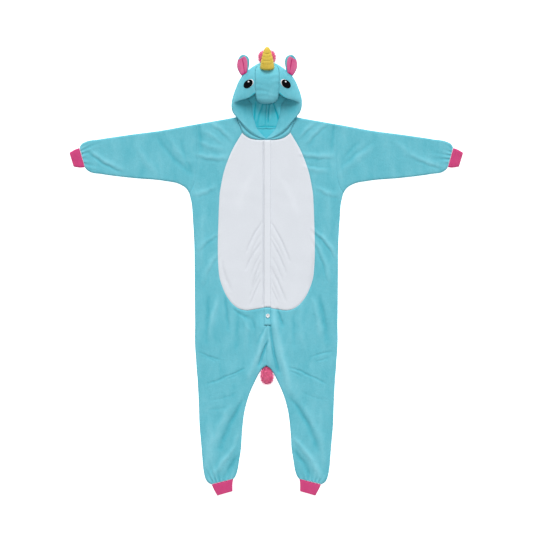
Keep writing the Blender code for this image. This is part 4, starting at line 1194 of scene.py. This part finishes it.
def addMuzzle():
    rings = []
    angles = np.linspace(0, 2 * np.pi, muzzle["ringSteps"], endpoint=False)
    for y, halfWidth, seamZ, rise, drop, sag in muzzle["rows"]:
        cosine, sine = np.cos(angles), np.sin(angles)
        across = np.sign(cosine) * np.abs(cosine) ** 0.72
        height = np.abs(sine) ** 0.72
        z = seamZ + np.where(sine >= 0, rise, -drop) * height
        rings.append(np.stack([halfWidth * across, y + sag * (1 - across**2), z], axis=-1))
    fine = smoothGrid(rings, muzzle["rowStep"], muzzle["ringPoints"], closed=True)
    x, y = fine[..., 0], fine[..., 1]
    top = smoothStep(fine[..., 2], 40, 56)
    wrinkle = np.sin(y / 4.3 + 1.1 * np.sin(x / 17 + y / 31)) * (0.5 + 0.5 * np.sin(y / 19 + x / 23))
    wrinkle = 0.85 * wrinkle * smoothStep(y, 892, 860) * smoothStep(y, 732, 765)
    fine[..., 2] += top * (wrinkle + 0.8 * layOfCloth(2.4 * x, 2.4 * y))
    obj = closedForm("muzzle", fine, turquoise, ("hood_centre", "snout"))


addHood()
addMuzzle()
print("hood closed over its muzzle")


def outerTree(names):
    points, faces = [], []
    for name in names:
        mesh = pieces[name].data
        faces += [[len(points) + k for k in face.vertices] for face in mesh.polygons]
        points += [vertex.co.copy() for vertex in mesh.vertices]
    return BVHTree.FromPolygons(points, faces)


# The point over a place in plan, this far off the cloth, and the cloth's normal there.
def laidOn(tree, x, y, lift):
    hit, normal, _, _ = tree.ray_cast(Vector((x, y, 400)) * mm, Vector((0, 0, -1)))
    normal = normal if normal.z > 0 else -normal
    return np.array(hit) / mm + np.array(normal) * lift, np.array(normal)


frontTree = outerTree(("tummyLeft", "tummyRight", "frontLeft", "frontRight"))
hoodTree = outerTree(("hoodSideLeft", "hoodSideRight", "muzzle"))

band = {
    "left": -10.0,
    "right": 20.0,
    "whiteRun": (569.0, -157.1),
    "blueRun": (-157.6, -234.0),
    "wall": 1.7,
    "lift": 0.5,
    "columns": 18,
    "whiteFlat": (0.03, 0.727),
    "blueFlat": (0.03, 0.077),
}


# A stitched band over the centre seam, its edges drawn down by their stitches.
def addBand(name, run, material, node):
    xs = np.linspace(band["left"], band["right"], band["columns"])
    ys = np.linspace(run[0], run[1], int((run[0] - run[1]) / 3.5) + 2)
    x, y = np.meshgrid(xs, ys)
    smoothFront = frontHeight(np.full_like(x, 5.0), y)
    edge = np.minimum(x - band["left"], band["right"] - x)
    edge = np.minimum(edge, np.minimum(run[0] - y, y - run[1]) + 0.4)
    puff = 1.1 * smoothStep(edge, 1.5, 6.5) + 0.9 * smoothStep(edge, -0.5, 1.3)
    pucker = 0.28 * np.sin(y / 3.1 + 0.7 * np.sin(y / 11)) * np.exp(-(((edge - 2.6) / 2.2) ** 2))
    z = np.maximum(smoothFront + 1.2, frontHeight(x, y)) + band["lift"] + puff + pucker
    # painted shade along the band's edges and a little painted highlight over its middle
    obj = makePiece(name, np.stack([x, y, z], axis=-1), gridFaces(*x.shape), material, (node,),
                    band["wall"], lookingUp=True, pile=0.45 * smoothStep(edge, 0, 3) - 0.25)


addBand("placketBand", band["whiteRun"], white, "placket")
addBand("placketLower", band["blueRun"], turquoise, "placket_lower")

button = {
    "place": (6.5, -193.0),
    # radius and height round the turned face
    "profile": ((0.0, 1.5), (4.6, 1.5), (5.4, 1.75), (6.0, 2.45), (6.8, 2.9), (7.7, 2.8), (8.35, 2.2), (8.5, 1.5),
                (8.2, 0.75), (7.4, 0.2), (5.0, 0.0), (0.0, 0.0)),
    "holeRadius": 0.95,
    "holeOffset": 1.9,
    "sides": 56,
}


def plasticMaterial():
    material = bpy.data.materials.new("whitePlastic")
    material.use_nodes = True
    tree = material.node_tree
    shader = tree.nodes["Principled BSDF"]
    shader.inputs["Coat Weight"].default_value = 0.3
    place = tree.nodes.new("ShaderNodeTexCoord").outputs["Object"]
    nap = useGroup(tree, napGroup, place, **{"Patch Scale": 90.0, "Patch Depth": 0.06, "Fleck Depth": 0.03})
    nap.inputs["Colour"].default_value = (0.83, 0.85, 0.86, 1)
    tree.links.new(nap.outputs["Colour"], shader.inputs["Base Color"])
    scuffs = noiseNode(tree, place, 700.0, 3)
    tree.links.new(mathNode(tree, "ADD", mathNode(tree, "MULTIPLY", scuffs, 0.16), 0.24), shader.inputs["Roughness"])
    return material


def addButton():
    x, y = button["place"]
    top = max(v.co.z for v in pieces["placketLower"].data.vertices
              if math.hypot(v.co.x / mm - x, v.co.y / mm - y) < 9) / mm
    foot = np.array((x, y, top + 1.75))
    sides = button["sides"]
    data = bmesh.new()
    rings = []
    for radius, height in button["profile"][1:-1]:
        ring = []
        for step in range(sides):
            angle = 2 * math.pi * step / sides
            spot = foot + np.array((radius * math.cos(angle), radius * math.sin(angle), height))
            ring.append(data.verts.new(spot * mm))
        rings.append(ring)
    for low, high in zip(rings, rings[1:]):
        for k in range(sides):
            data.faces.new((low[k], low[(k + 1) % sides], high[(k + 1) % sides], high[k]))
    data.faces.new(rings[0])
    data.faces.new(rings[-1][::-1])
    bmesh.ops.recalc_face_normals(data, faces=data.faces)
    mesh = bpy.data.meshes.new("buttonBlank")
    data.to_mesh(mesh)
    data.free()
    blank = placed("buttonBlank", mesh)
    cutters = []
    for corner in range(4):
        angle = math.radians(45 + 90 * corner)
        offset = np.array((math.cos(angle), math.sin(angle), 0)) * button["holeOffset"]
        bpy.ops.mesh.primitive_cylinder_add(vertices=20, radius=button["holeRadius"] * mm, depth=12 * mm,
                                            location=((foot + offset) * mm).tolist())
        cutters.append(bpy.context.object)
        hole = blank.modifiers.new(f"hole{corner}", "BOOLEAN")
        hole.operation = "DIFFERENCE"
        hole.object = cutters[-1]
    bevel = blank.modifiers.new("softEdges", "BEVEL")
    bevel.width = 0.12 * mm
    bevel.segments = 2
    bevel.limit_method = "ANGLE"
    graph = bpy.context.evaluated_depsgraph_get()
    finished = bpy.data.meshes.new_from_object(blank.evaluated_get(graph))
    for leftover in [blank, *cutters]:
        bpy.data.objects.remove(leftover)
    finished.materials.clear()
    finished.materials.append(plasticMaterial())
    finished.shade_smooth()
    finished.set_sharp_from_angle(angle=math.radians(40))
    keepPiece(placed("shankButton", finished), ("button",))
    return foot


buttonFoot = addButton()
print("placket closed with its button")

eyes = {
    "place": (81.5, 810.6),
    "tilt": math.radians(-41),
    # half length, half width, offset in x and y, height off the hood, pillow
    "patches": (
        ("eyeRim", 22.6, 15.8, -3.0, 0.9, 0.5, 0.5, "whiteFelt", "white_felt", "eye_rim"),
        ("eyeDisc", 22.6, 15.6, 0.4, -0.8, 1.5, 1.0, "blackFelt", "black_felt", "eye"),
        ("eyeGlint", 3.6, 3.0, -2.0, 8.5, 3.0, 0.5, "whiteFelt", "white_felt", "eye_glint"),
    ),
    "sides": 56,
    "rings": (1.0, 0.96, 0.88, 0.76, 0.6, 0.4, 0.2),
    "wall": 0.9,
}


def addEyes():
    along = np.array((math.cos(eyes["tilt"]), math.sin(eyes["tilt"])))
    across = np.array((-along[1], along[0]))
    for side, word in sides:
        for name, length, width, offsetX, offsetY, lift, pillow, finish, slot, node in eyes["patches"]:
            centre = np.array(eyes["place"]) + np.array((offsetX, offsetY))
            rings = []
            for share in eyes["rings"]:
                ring = []
                for step in range(eyes["sides"]):
                    angle = 2 * math.pi * step / eyes["sides"]
                    spot = centre + share * (along * length * math.cos(angle) + across * width * math.sin(angle))
                    raised = lift + pillow * math.sqrt(max(0, 1 - share**2))
                    ring.append(laidOn(hoodTree, side * spot[0], spot[1], raised)[0])
                rings.append(ring)
            rings = np.array(rings)
            count = eyes["sides"]
            middle = laidOn(hoodTree, side * centre[0], centre[1], lift + pillow)[0]
            points = np.concatenate([rings.reshape(-1, 3), [middle]])
            base = (len(rings) - 1) * count
            faces = gridFaces(len(rings), count, closed=True).tolist()
            fan = [(base + k, base + (k + 1) % count, len(points) - 1) for k in range(count)]
            obj = makePiece(name + word, points, faces + fan, materials[finish], (f"{node}_{word.lower()}",),
                            eyes["wall"], lookingUp=True)


addEyes()

horn = {
    "foot": (0, 882.5, 49.5),
    "lean": math.radians(25),
    "baseY": 878.5,
    "baseHalf": (31, 11),
    # distance up the horn and radius there
    "rows": ((6, 30), (14, 29.0), (24, 27.6), (36, 25.4), (48, 22.8), (60, 19.8), (69, 17.2), (76, 15.2),
             (83, 12.8), (89, 9.6), (93, 5.8), (94.8, 2.2)),
    # distance up the horn of each ring of stitches, and how far it draws the stuffing in
    "rings": ((23, 1.2), (39, 1.5), (54, 1.3), (69, 2.8)),
    "ringWidth": 1.6,
    "ringSteps": 48,
    "sections": 76,
    "ringPoints": 96,
    "rowStep": 2.5,
    "fill": 0.9,
}


def addHorn():
    lean = horn["lean"]
    axis = np.array((0, math.cos(lean), math.sin(lean)))
    up = np.array((0, -math.sin(lean), math.cos(lean)))
    foot = np.array(horn["foot"], float)
    angles = np.linspace(0, 2 * np.pi, horn["ringSteps"], endpoint=False)
    base = []
    for angle in angles:
        x, y = horn["baseHalf"][0] * math.cos(angle), horn["baseY"] - horn["baseHalf"][1] * math.sin(angle)
        base.append(laidOn(hoodTree, x, y, 0.6)[0])
    rings = [np.array(base)]
    table = np.array(horn["rows"], float)
    for along in np.linspace(table[0, 0], table[-1, 0], horn["sections"]):
        radius = throughPoints(table[:, 1:], table[:, 0], np.array([along]))[0, 0]
        radius -= sum(depth * math.exp(-(((along - at) / horn["ringWidth"]) ** 2)) for at, depth in horn["rings"])
        pucker = 1 + 0.012 * np.sin(11 * angles + along / 9) + 0.02 * np.sin(3 * angles + along / 21)
        across = np.cos(angles)[:, None] * np.array((1, 0, 0)) + np.sin(angles)[:, None] * up
        rings.append(foot + axis * along + across * (radius * pucker)[:, None])
    fine = smoothGrid(np.array(rings), horn["rowStep"], horn["ringPoints"], closed=True)
    obj = closedForm("stuffedHorn", fine, materials["yellowPlush"], ("horn",))


addHorn()

ears = {
    # middle of each section across the ear, its half width and half thickness, from the foot to the tip
    "rows": (
        (97, 852, 33, 14, 5),
        (99, 864, 37, 20.5, 5.5),
        (101, 880, 41, 27, 6.5),
        (103.5, 896, 45, 30.5, 6.5),
        (106, 912, 49, 28, 6),
        (109.5, 924, 52.5, 20, 5),
        (111, 931.5, 55, 10, 3.2),
        (111.5, 934, 56, 4, 2),
    ),
    "across": (0.86, -0.48, -0.10),
    "dish": 3.0,
    "crease": 3.8,
    "creaseAt": 0.41,
    "shares": (-1, -0.9, -0.66, -0.26, -0.08, 0.0, 0.08, 0.3, 0.6, 0.82, 0.94, 1),
    "lining": slice(2, 11),
    "rowStep": 2.4,
    "ringPoints": 96,
    "liningStep": 2.0,
    "liningPoints": 44,
    "liningLift": 0.5,
    "liningWall": 1.6,
    "fill": 0.5,
    "flat": (0.05, 0.07),
    "area": 0.0031,
}


def addEars():
    rows = np.array(ears["rows"], float)
    across = np.array(ears["across"])
    across /= np.linalg.norm(across)
    way = rows[-1, :3] - rows[0, :3]
    way /= np.linalg.norm(way)
    up = np.cross(across, way)
    up = (up if up[2] > 0 else -up) / np.linalg.norm(up)
    shares = np.array(ears["shares"])
    under = np.array((0.88, 0.6, 0.2, -0.2, -0.6, -0.88))
    for side, word in sides:
        turn = np.array((side, 1, 1))
        rings = []
        for x, y, z, halfWidth, halfHeight in rows:
            middle = np.array((x, y, z))
            dish = ears["dish"] * (1 - np.minimum(1, np.abs(shares - 0.1) / 0.7)) * halfWidth / 28
            dish += ears["crease"] * np.exp(-((shares / 0.07) ** 2)) * smoothStep(y, 926, 905)
            top = middle + across * (shares * halfWidth)[:, None]
            top = top + up * (halfHeight * np.sqrt(1 - shares**2) - dish)[:, None]
            low = middle + across * (under * halfWidth)[:, None] - up * (halfHeight * np.sqrt(1 - under**2))[:, None]
            rings.append(np.concatenate([top, low]) * turn)
        seat = rings[0] - way * turn * 9
        rings = np.array([seat, *rings])
        fine = smoothGrid(rings, ears["rowStep"], ears["ringPoints"], closed=True)
        outer = closedForm(f"ear{word}", fine, turquoise, (f"ear_outer_{word.lower()}",))
        lining = rings[1:-2, ears["lining"]] + up * turn * ears["liningLift"]
        lining[0] = lining[0] + (lining[1] - lining[0]) * 0.3
        lining = smoothGrid(lining, ears["liningStep"], ears["liningPoints"])
        roll = np.linspace(0, 1, ears["liningPoints"])
        drop = 1.1 * np.exp(-((np.minimum(roll, 1 - roll) / 0.05) ** 2))
        lining = lining - (up * turn)[None, None] * drop[None, :, None]
        middle = np.abs(roll[None, :] - ears["creaseAt"]) / 0.055
        along = np.linspace(0, 1, len(lining))[:, None]
        # painted shade along the lining's crease and at its foot
        shade = 0.1 - 1.9 * np.exp(-(middle**2)) * smoothStep(along, 0.95, 0.7) - 0.5 * np.exp(-((along / 0.12) ** 2))
        inner = makePiece(f"earLining{word}", lining, gridFaces(*lining.shape[:2]), materials["pinkPlush"],
                          (f"ear_inner_{word.lower()}",), ears["liningWall"], outwards=True,
                          lookingUp=True, pile=shade)


addEars()
print("horn, ears and eyes sewn on")

tufts = {
    # y, middle x, half width, lowest, highest
    "mane": ((906.2, 0, 24, 6, 27), (914, 0, 30, 2, 30), (930, 0, 31.5, 2, 35), (942, 0, 28, 5, 37),
             (949, 0, 15, 14, 34)),
    "tail": ((-235, 0, 9, 0.6, 2.2), (-258, 0, 18, 0.6, 4.4), (-300, 0, 21, 0.6, 4.8), (-405, 0, 22, 0.6, 5.4),
             (-420, 0.5, 22, 0.6, 6.0), (-438, 2, 23, 0.8, 11.5), (-458, 3, 26, 1, 15), (-474, 3, 22, 1, 13),
             (-486, 3, 12, 1.5, 8)),
    "maneStrand": 11.0,
    "tailStrand": 9.0,
    "strandRadius": 0.68,
    "tailHidden": -412.0,  # the tail bears no strands beyond this y, under the seat
    "bareBelow": 2.5,
    "ringSteps": 20,
    "ringPoints": 56,
    "rowStep": 3.0,
    "strandsPerSquareMetre": 230000.0,
}


# A tree that grows pieces: it takes a mesh, these sizes and a material, and gives a mesh.
def growingTree(name, sizes, seeded=False):
    tree = bpy.data.node_groups.new(name, "GeometryNodeTree")
    face = tree.interface
    face.new_socket(name="Geometry", in_out="INPUT", socket_type="NodeSocketGeometry")
    for label, value in sizes:
        face.new_socket(name=label, in_out="INPUT", socket_type="NodeSocketFloat").default_value = value
    if seeded:
        face.new_socket(name="Seed", in_out="INPUT", socket_type="NodeSocketInt").default_value = 3
    face.new_socket(name="Material", in_out="INPUT", socket_type="NodeSocketMaterial")
    face.new_socket(name="Geometry", in_out="OUTPUT", socket_type="NodeSocketGeometry")
    return tree, tree.nodes.new("NodeGroupInput").outputs, tree.nodes.new("NodeGroupOutput").inputs


def setInput(modifier, tree, label, value):
    for item in tree.interface.items_tree:
        if item.item_type == "SOCKET" and item.in_out == "INPUT" and item.name == label:
            modifier[item.identifier] = value


# Curled strands standing on a surface, each with its own lean, turn and length.
def buildStrandTree():
    sizes = (("Length", 0.012), ("Radius", 0.0005), ("Density", 4e5), ("Lean", 0.7))
    tree, given, made = growingTree("curledStrands", sizes, seeded=True)
    scatter = addNode(tree, "GeometryNodeDistributePointsOnFaces", ("Mesh", given["Geometry"]),
                      ("Density", given["Density"]), ("Seed", given["Seed"]))
    strand = addNode(tree, "GeometryNodeCurveQuadraticBezier", ("Resolution", 5), ("Start", (0, 0, -0.08)),
                     ("Middle", (0.34, 0.05, 0.62)), ("End", (-0.22, 0.12, 1.0)))
    place = addNode(tree, "GeometryNodeSplineParameter")
    taper = mathNode(tree, "SUBTRACT", 1.0, mathNode(tree, "MULTIPLY", place.outputs["Factor"], 0.7))
    thickness = addNode(tree, "GeometryNodeSetCurveRadius", ("Curve", strand.outputs["Curve"]), ("Radius", taper))
    girth = mathNode(tree, "DIVIDE", given["Radius"], given["Length"])
    profile = addNode(tree, "GeometryNodeCurvePrimitiveCircle", ("Resolution", 3), ("Radius", girth))
    tube = addNode(tree, "GeometryNodeCurveToMesh", ("Curve", thickness.outputs["Curve"]),
                   ("Profile Curve", profile.outputs["Curve"]))
    if "Scale" in tube.inputs:
        tree.links.new(addNode(tree, "GeometryNodeInputRadius").outputs[0], tube.inputs["Scale"])
    smooth = addNode(tree, "GeometryNodeSetShadeSmooth", ("Geometry", tube.outputs["Mesh"]))
    ends = []
    for way in (-1.0, 1.0):
        leaning = mathNode(tree, "MULTIPLY", given["Lean"], way)
        ends.append(addNode(tree, "ShaderNodeCombineXYZ", ("X", leaning), ("Y", leaning), ("Z", 3.14 * way)))
    lean = addNode(tree, "FunctionNodeRandomValue", (0, ends[0].outputs[0]), (1, ends[1].outputs[0]),
                   data_type="FLOAT_VECTOR")
    turnBy = addNode(tree, "FunctionNodeEulerToRotation", (0, lean.outputs[0]))
    turn = addNode(tree, "FunctionNodeRotateRotation", (0, scatter.outputs["Rotation"]), (1, turnBy.outputs[0]),
                   rotation_space="LOCAL")
    spread = addNode(tree, "FunctionNodeRandomValue", (2, 0.6), (3, 1.15), data_type="FLOAT")
    size = mathNode(tree, "MULTIPLY", spread.outputs[1], given["Length"])
    stand = addNode(tree, "GeometryNodeInstanceOnPoints", ("Points", scatter.outputs["Points"]),
                    ("Instance", smooth.outputs[0]), ("Rotation", turn.outputs[0]), ("Scale", size))
    real = addNode(tree, "GeometryNodeRealizeInstances", (0, stand.outputs[0]))
    finish = addNode(tree, "GeometryNodeSetMaterial", ("Geometry", real.outputs[0]), ("Material", given["Material"]))
    tree.links.new(finish.outputs[0], made[0])
    return tree


strandTree = buildStrandTree()


# Runs a node tree on a mesh and keeps what it makes as a plain mesh.
def grownPiece(name, source, tree, material, slot, **values):
    grower = placed(name + "Source", source)
    modifier = grower.modifiers.new("grow", "NODES")
    modifier.node_group = tree
    for label, value in {**values, "Material": material}.items():
        setInput(modifier, tree, label.replace("_", " "), value)
    graph = bpy.context.evaluated_depsgraph_get()
    mesh = bpy.data.meshes.new_from_object(grower.evaluated_get(graph))
    grower.modifiers.remove(modifier)
    bpy.data.objects.remove(grower)
    mesh.name = name
    if not mesh.materials:
        mesh.materials.append(material)
    for vertex in mesh.vertices:
        vertex.co.z = max(vertex.co.z, 0.4 * mm)
    return keepPiece(placed(name, mesh))


def addTufts():
    for seed, name in enumerate(("mane", "tail")):
        rings = []
        for y, middleX, halfWidth, low, high in tufts[name]:
            angles = np.linspace(0, 2 * np.pi, tufts["ringSteps"], endpoint=False)
            wide = np.sign(np.cos(angles)) * np.abs(np.cos(angles)) ** 0.8
            tall = np.sign(np.sin(angles)) * np.abs(np.sin(angles)) ** 0.8
            x = middleX + halfWidth * wide
            rings.append(np.stack([x, np.full(len(x), y), (low + high) / 2 + (high - low) / 2 * tall], axis=-1))
        fine = smoothGrid(rings, tufts["rowStep"], tufts["ringPoints"], closed=True)
        x, y = fine[..., 0], fine[..., 1]
        lump = 1 + 0.05 * np.sin(y / 3.1 + x / 4.3) * np.sin(x / 3.7 - y / 5.9)
        centre = fine.mean(axis=1, keepdims=True)
        fine = centre + (fine - centre) * lump[..., None]
        core = closedForm(name + "Core", fine, materials["fuchsiaPile"], (name,))
        source = core.data.copy()
        with editing(source) as data:
            hidden = []
            for face in data.faces:
                spot = face.calc_center_median()
                if (name == "tail" and spot.y > tufts["tailHidden"] * mm) or spot.z < tufts["bareBelow"] * mm:
                    hidden.append(face)
            bmesh.ops.delete(data, geom=hidden, context="FACES")
        strands = grownPiece(name + "Strands", source, strandTree, materials["fuchsiaPile"], "fuchsia_pile",
                             Length=tufts[name + "Strand"] * mm, Radius=tufts["strandRadius"] * mm,
                             Density=tufts["strandsPerSquareMetre"], Lean=0.75, Seed=5 + seed)
        print(name, "has", len(strands.data.polygons), "strand faces")


addTufts()


# Stitches along a line: short rounded threads, laid with their length along it.
def buildStitchTree():
    tree, given, made = growingTree("stitchRow", (("Pitch", 0.0045), ("Length", 0.0032), ("Thickness", 0.0006)))
    line = addNode(tree, "GeometryNodeMeshToCurve", ("Mesh", given["Geometry"]))
    even = addNode(tree, "GeometryNodeResampleCurve", ("Curve", line.outputs["Curve"]), ("Length", given["Pitch"]),
                   mode="LENGTH")
    thread = addNode(tree, "GeometryNodeMeshUVSphere", ("Segments", 6), ("Rings", 4), ("Radius", 0.5))
    shape = addNode(tree, "ShaderNodeCombineXYZ", ("X", given["Length"]), ("Y", given["Thickness"]),
                    ("Z", given["Thickness"]))
    tangent = addNode(tree, "GeometryNodeInputTangent")
    aim = addNode(tree, "FunctionNodeAlignRotationToVector", ("Vector", tangent.outputs[0]), axis="X")
    lay = addNode(tree, "GeometryNodeInstanceOnPoints", ("Points", even.outputs["Curve"]),
                  ("Instance", thread.outputs["Mesh"]), ("Rotation", aim.outputs[0]), ("Scale", shape.outputs[0]))
    real = addNode(tree, "GeometryNodeRealizeInstances", (0, lay.outputs[0]))
    smooth = addNode(tree, "GeometryNodeSetShadeSmooth", ("Geometry", real.outputs[0]))
    finish = addNode(tree, "GeometryNodeSetMaterial", ("Geometry", smooth.outputs[0]), ("Material", given["Material"]))
    tree.links.new(finish.outputs[0], made[0])
    return tree


stitchTree = buildStitchTree()
stitches = {"pitch": 4.4, "length": 3.2, "thickness": 0.62, "inset": 2.6}


def lineMesh(name, lines):
    points, edges = [], []
    for line in lines:
        edges += [(len(points) + k, len(points) + k + 1) for k in range(len(line) - 1)]
        points += [tuple(np.array(p) * mm) for p in line]
    mesh = bpy.data.meshes.new(name)
    mesh.from_pydata(points, edges, [])
    return mesh


def onTop(tree, path, lift):
    return [laidOn(tree, x, y, lift)[0] for x, y in path]


def straight(x0, y0, x1, y1, step=3.0):
    count = int(math.hypot(x1 - x0, y1 - y0) / step) + 2
    return list(zip(np.linspace(x0, x1, count), np.linspace(y0, y1, count)))


def addStitches():
    bandTree = outerTree(("placketBand", "placketLower"))
    inset = stitches["inset"]
    left, right = band["left"] + inset, band["right"] - inset
    whiteTop, whiteLow = band["whiteRun"][0] - inset, band["whiteRun"][1] + inset
    whiteLines = [
        onTop(bandTree, straight(left, whiteTop, left, whiteLow), 0.05),
        onTop(bandTree, straight(right, whiteTop, right, whiteLow), 0.05),
        onTop(frontTree, straight(-20, whiteTop - 2, -20, whiteLow - 2), 0.1),
    ]
    blueTop, blueLow = band["blueRun"][0] - inset, band["blueRun"][1] + inset
    box = ((left, blueTop), (left, blueLow), (right, blueLow), (right, blueTop), (left, blueTop))
    blueLines = [onTop(bandTree, straight(*a, *b), 0.05) for a, b in zip(box, box[1:])]
    sizes = {"Pitch": stitches["pitch"] * mm, "Length": stitches["length"] * mm,
             "Thickness": stitches["thickness"] * mm}
    grownPiece("placketStitches", lineMesh("placketStitchLines", whiteLines), stitchTree, materials["seamThread"],
               "white_fleece", **sizes)
    grownPiece("lowerStitches", lineMesh("lowerStitchLines", blueLines), stitchTree, materials["turquoiseFleece"],
               "turquoise_fleece", **sizes)
    offset = button["holeOffset"] / math.sqrt(2)
    threads = []
    for y in (-offset, offset):
        run = np.linspace(-offset - 0.3, offset + 0.3, 7)
        threads.append([buttonFoot + np.array((x, y, 1.75 + 0.25 * math.cos(x / offset))) for x in run])
    grownPiece("buttonThread", lineMesh("buttonThreadLines", threads), stitchTree, materials["seamThread"],
               "white_plastic", Pitch=0.5 * mm, Length=1.0 * mm, Thickness=0.8 * mm)


addStitches()
print("stitches run")


stage = {
    "floorSize": 60,
    "floorHeight": -0.0006,
    "cameraPlace": (0.016, 0.005, 19.52),
    "lens": 300,
    "sensorWidth": 36,
    "clipEnd": 100,
}


def addFloor():
    material = bpy.data.materials.new("paleFloor")
    material.use_nodes = True
    tree = material.node_tree
    shader = tree.nodes["Principled BSDF"]
    shader.inputs["Base Color"].default_value = (0.9, 0.9, 0.9, 1)
    shader.inputs["Roughness"].default_value = 0.9
    shader.inputs["Emission Color"].default_value = (1, 1, 1, 1)
    shader.inputs["Emission Strength"].default_value = 0.8
    shader.inputs["Specular IOR Level"].default_value = 0.1
    bpy.ops.mesh.primitive_plane_add(size=stage["floorSize"], location=(0, 0, stage["floorHeight"]))
    floor = bpy.context.object
    floor.name = "floor"
    floor.data.materials.append(material)


lights = {
    # where the far key shines from, its strength and how wide it looks
    "key": ((0.2, 3.9, 3.1), 2.7, math.radians(30)),
    # place, size and power of the soft panel over the garment
    "overhead": ((0.0, 0.8, 6.5), 1.6, 105.0),
    "sky": 0.22,
}


def addLights():
    for name, kind in (("key", "SUN"), ("overhead", "AREA")):
        place, size, power = lights[name]
        light = bpy.data.lights.new(name, kind)
        if kind == "SUN":
            light.energy, light.angle = size, power
        else:
            light.size, light.energy = size, power
        lamp = placed(name, light)
        lamp.location = place
        lamp.visible_camera = False
        lamp.rotation_euler = (-Vector(place)).to_track_quat("-Z", "Y").to_euler()
    world = bpy.data.worlds.new("studio")
    world.use_nodes = True
    world.node_tree.nodes["Background"].inputs["Color"].default_value = (1, 1, 1, 1)
    world.node_tree.nodes["Background"].inputs["Strength"].default_value = lights["sky"]
    bpy.context.scene.world = world
    bpy.context.scene.view_settings.view_transform = "Standard"


def addCamera():
    data = bpy.data.cameras.new("above")
    data.lens = stage["lens"]
    data.sensor_width = stage["sensorWidth"]
    data.clip_end = stage["clipEnd"]
    camera = placed("above", data)
    camera.location = stage["cameraPlace"]
    bpy.context.scene.camera = camera


addFloor()
addLights()
addCamera()
print("lit and framed")

hoodShift = {"x": 3.6, "from": 672.0, "to": 770.0}


# The hood lies a little to the right of the neck.
def shiftHood():
    for name, obj in pieces.items():
        if not name.startswith(("hoodSide", "muzzle", "stuffedHorn", "ear", "eye", "mane")):
            continue
        for vertex in obj.data.vertices:
            share = smoothStep(vertex.co.y / mm, hoodShift["from"], hoodShift["to"])
            vertex.co.x += hoodShift["x"] * mm * float(share)


shiftHood()
print("hood shifted over the neck")
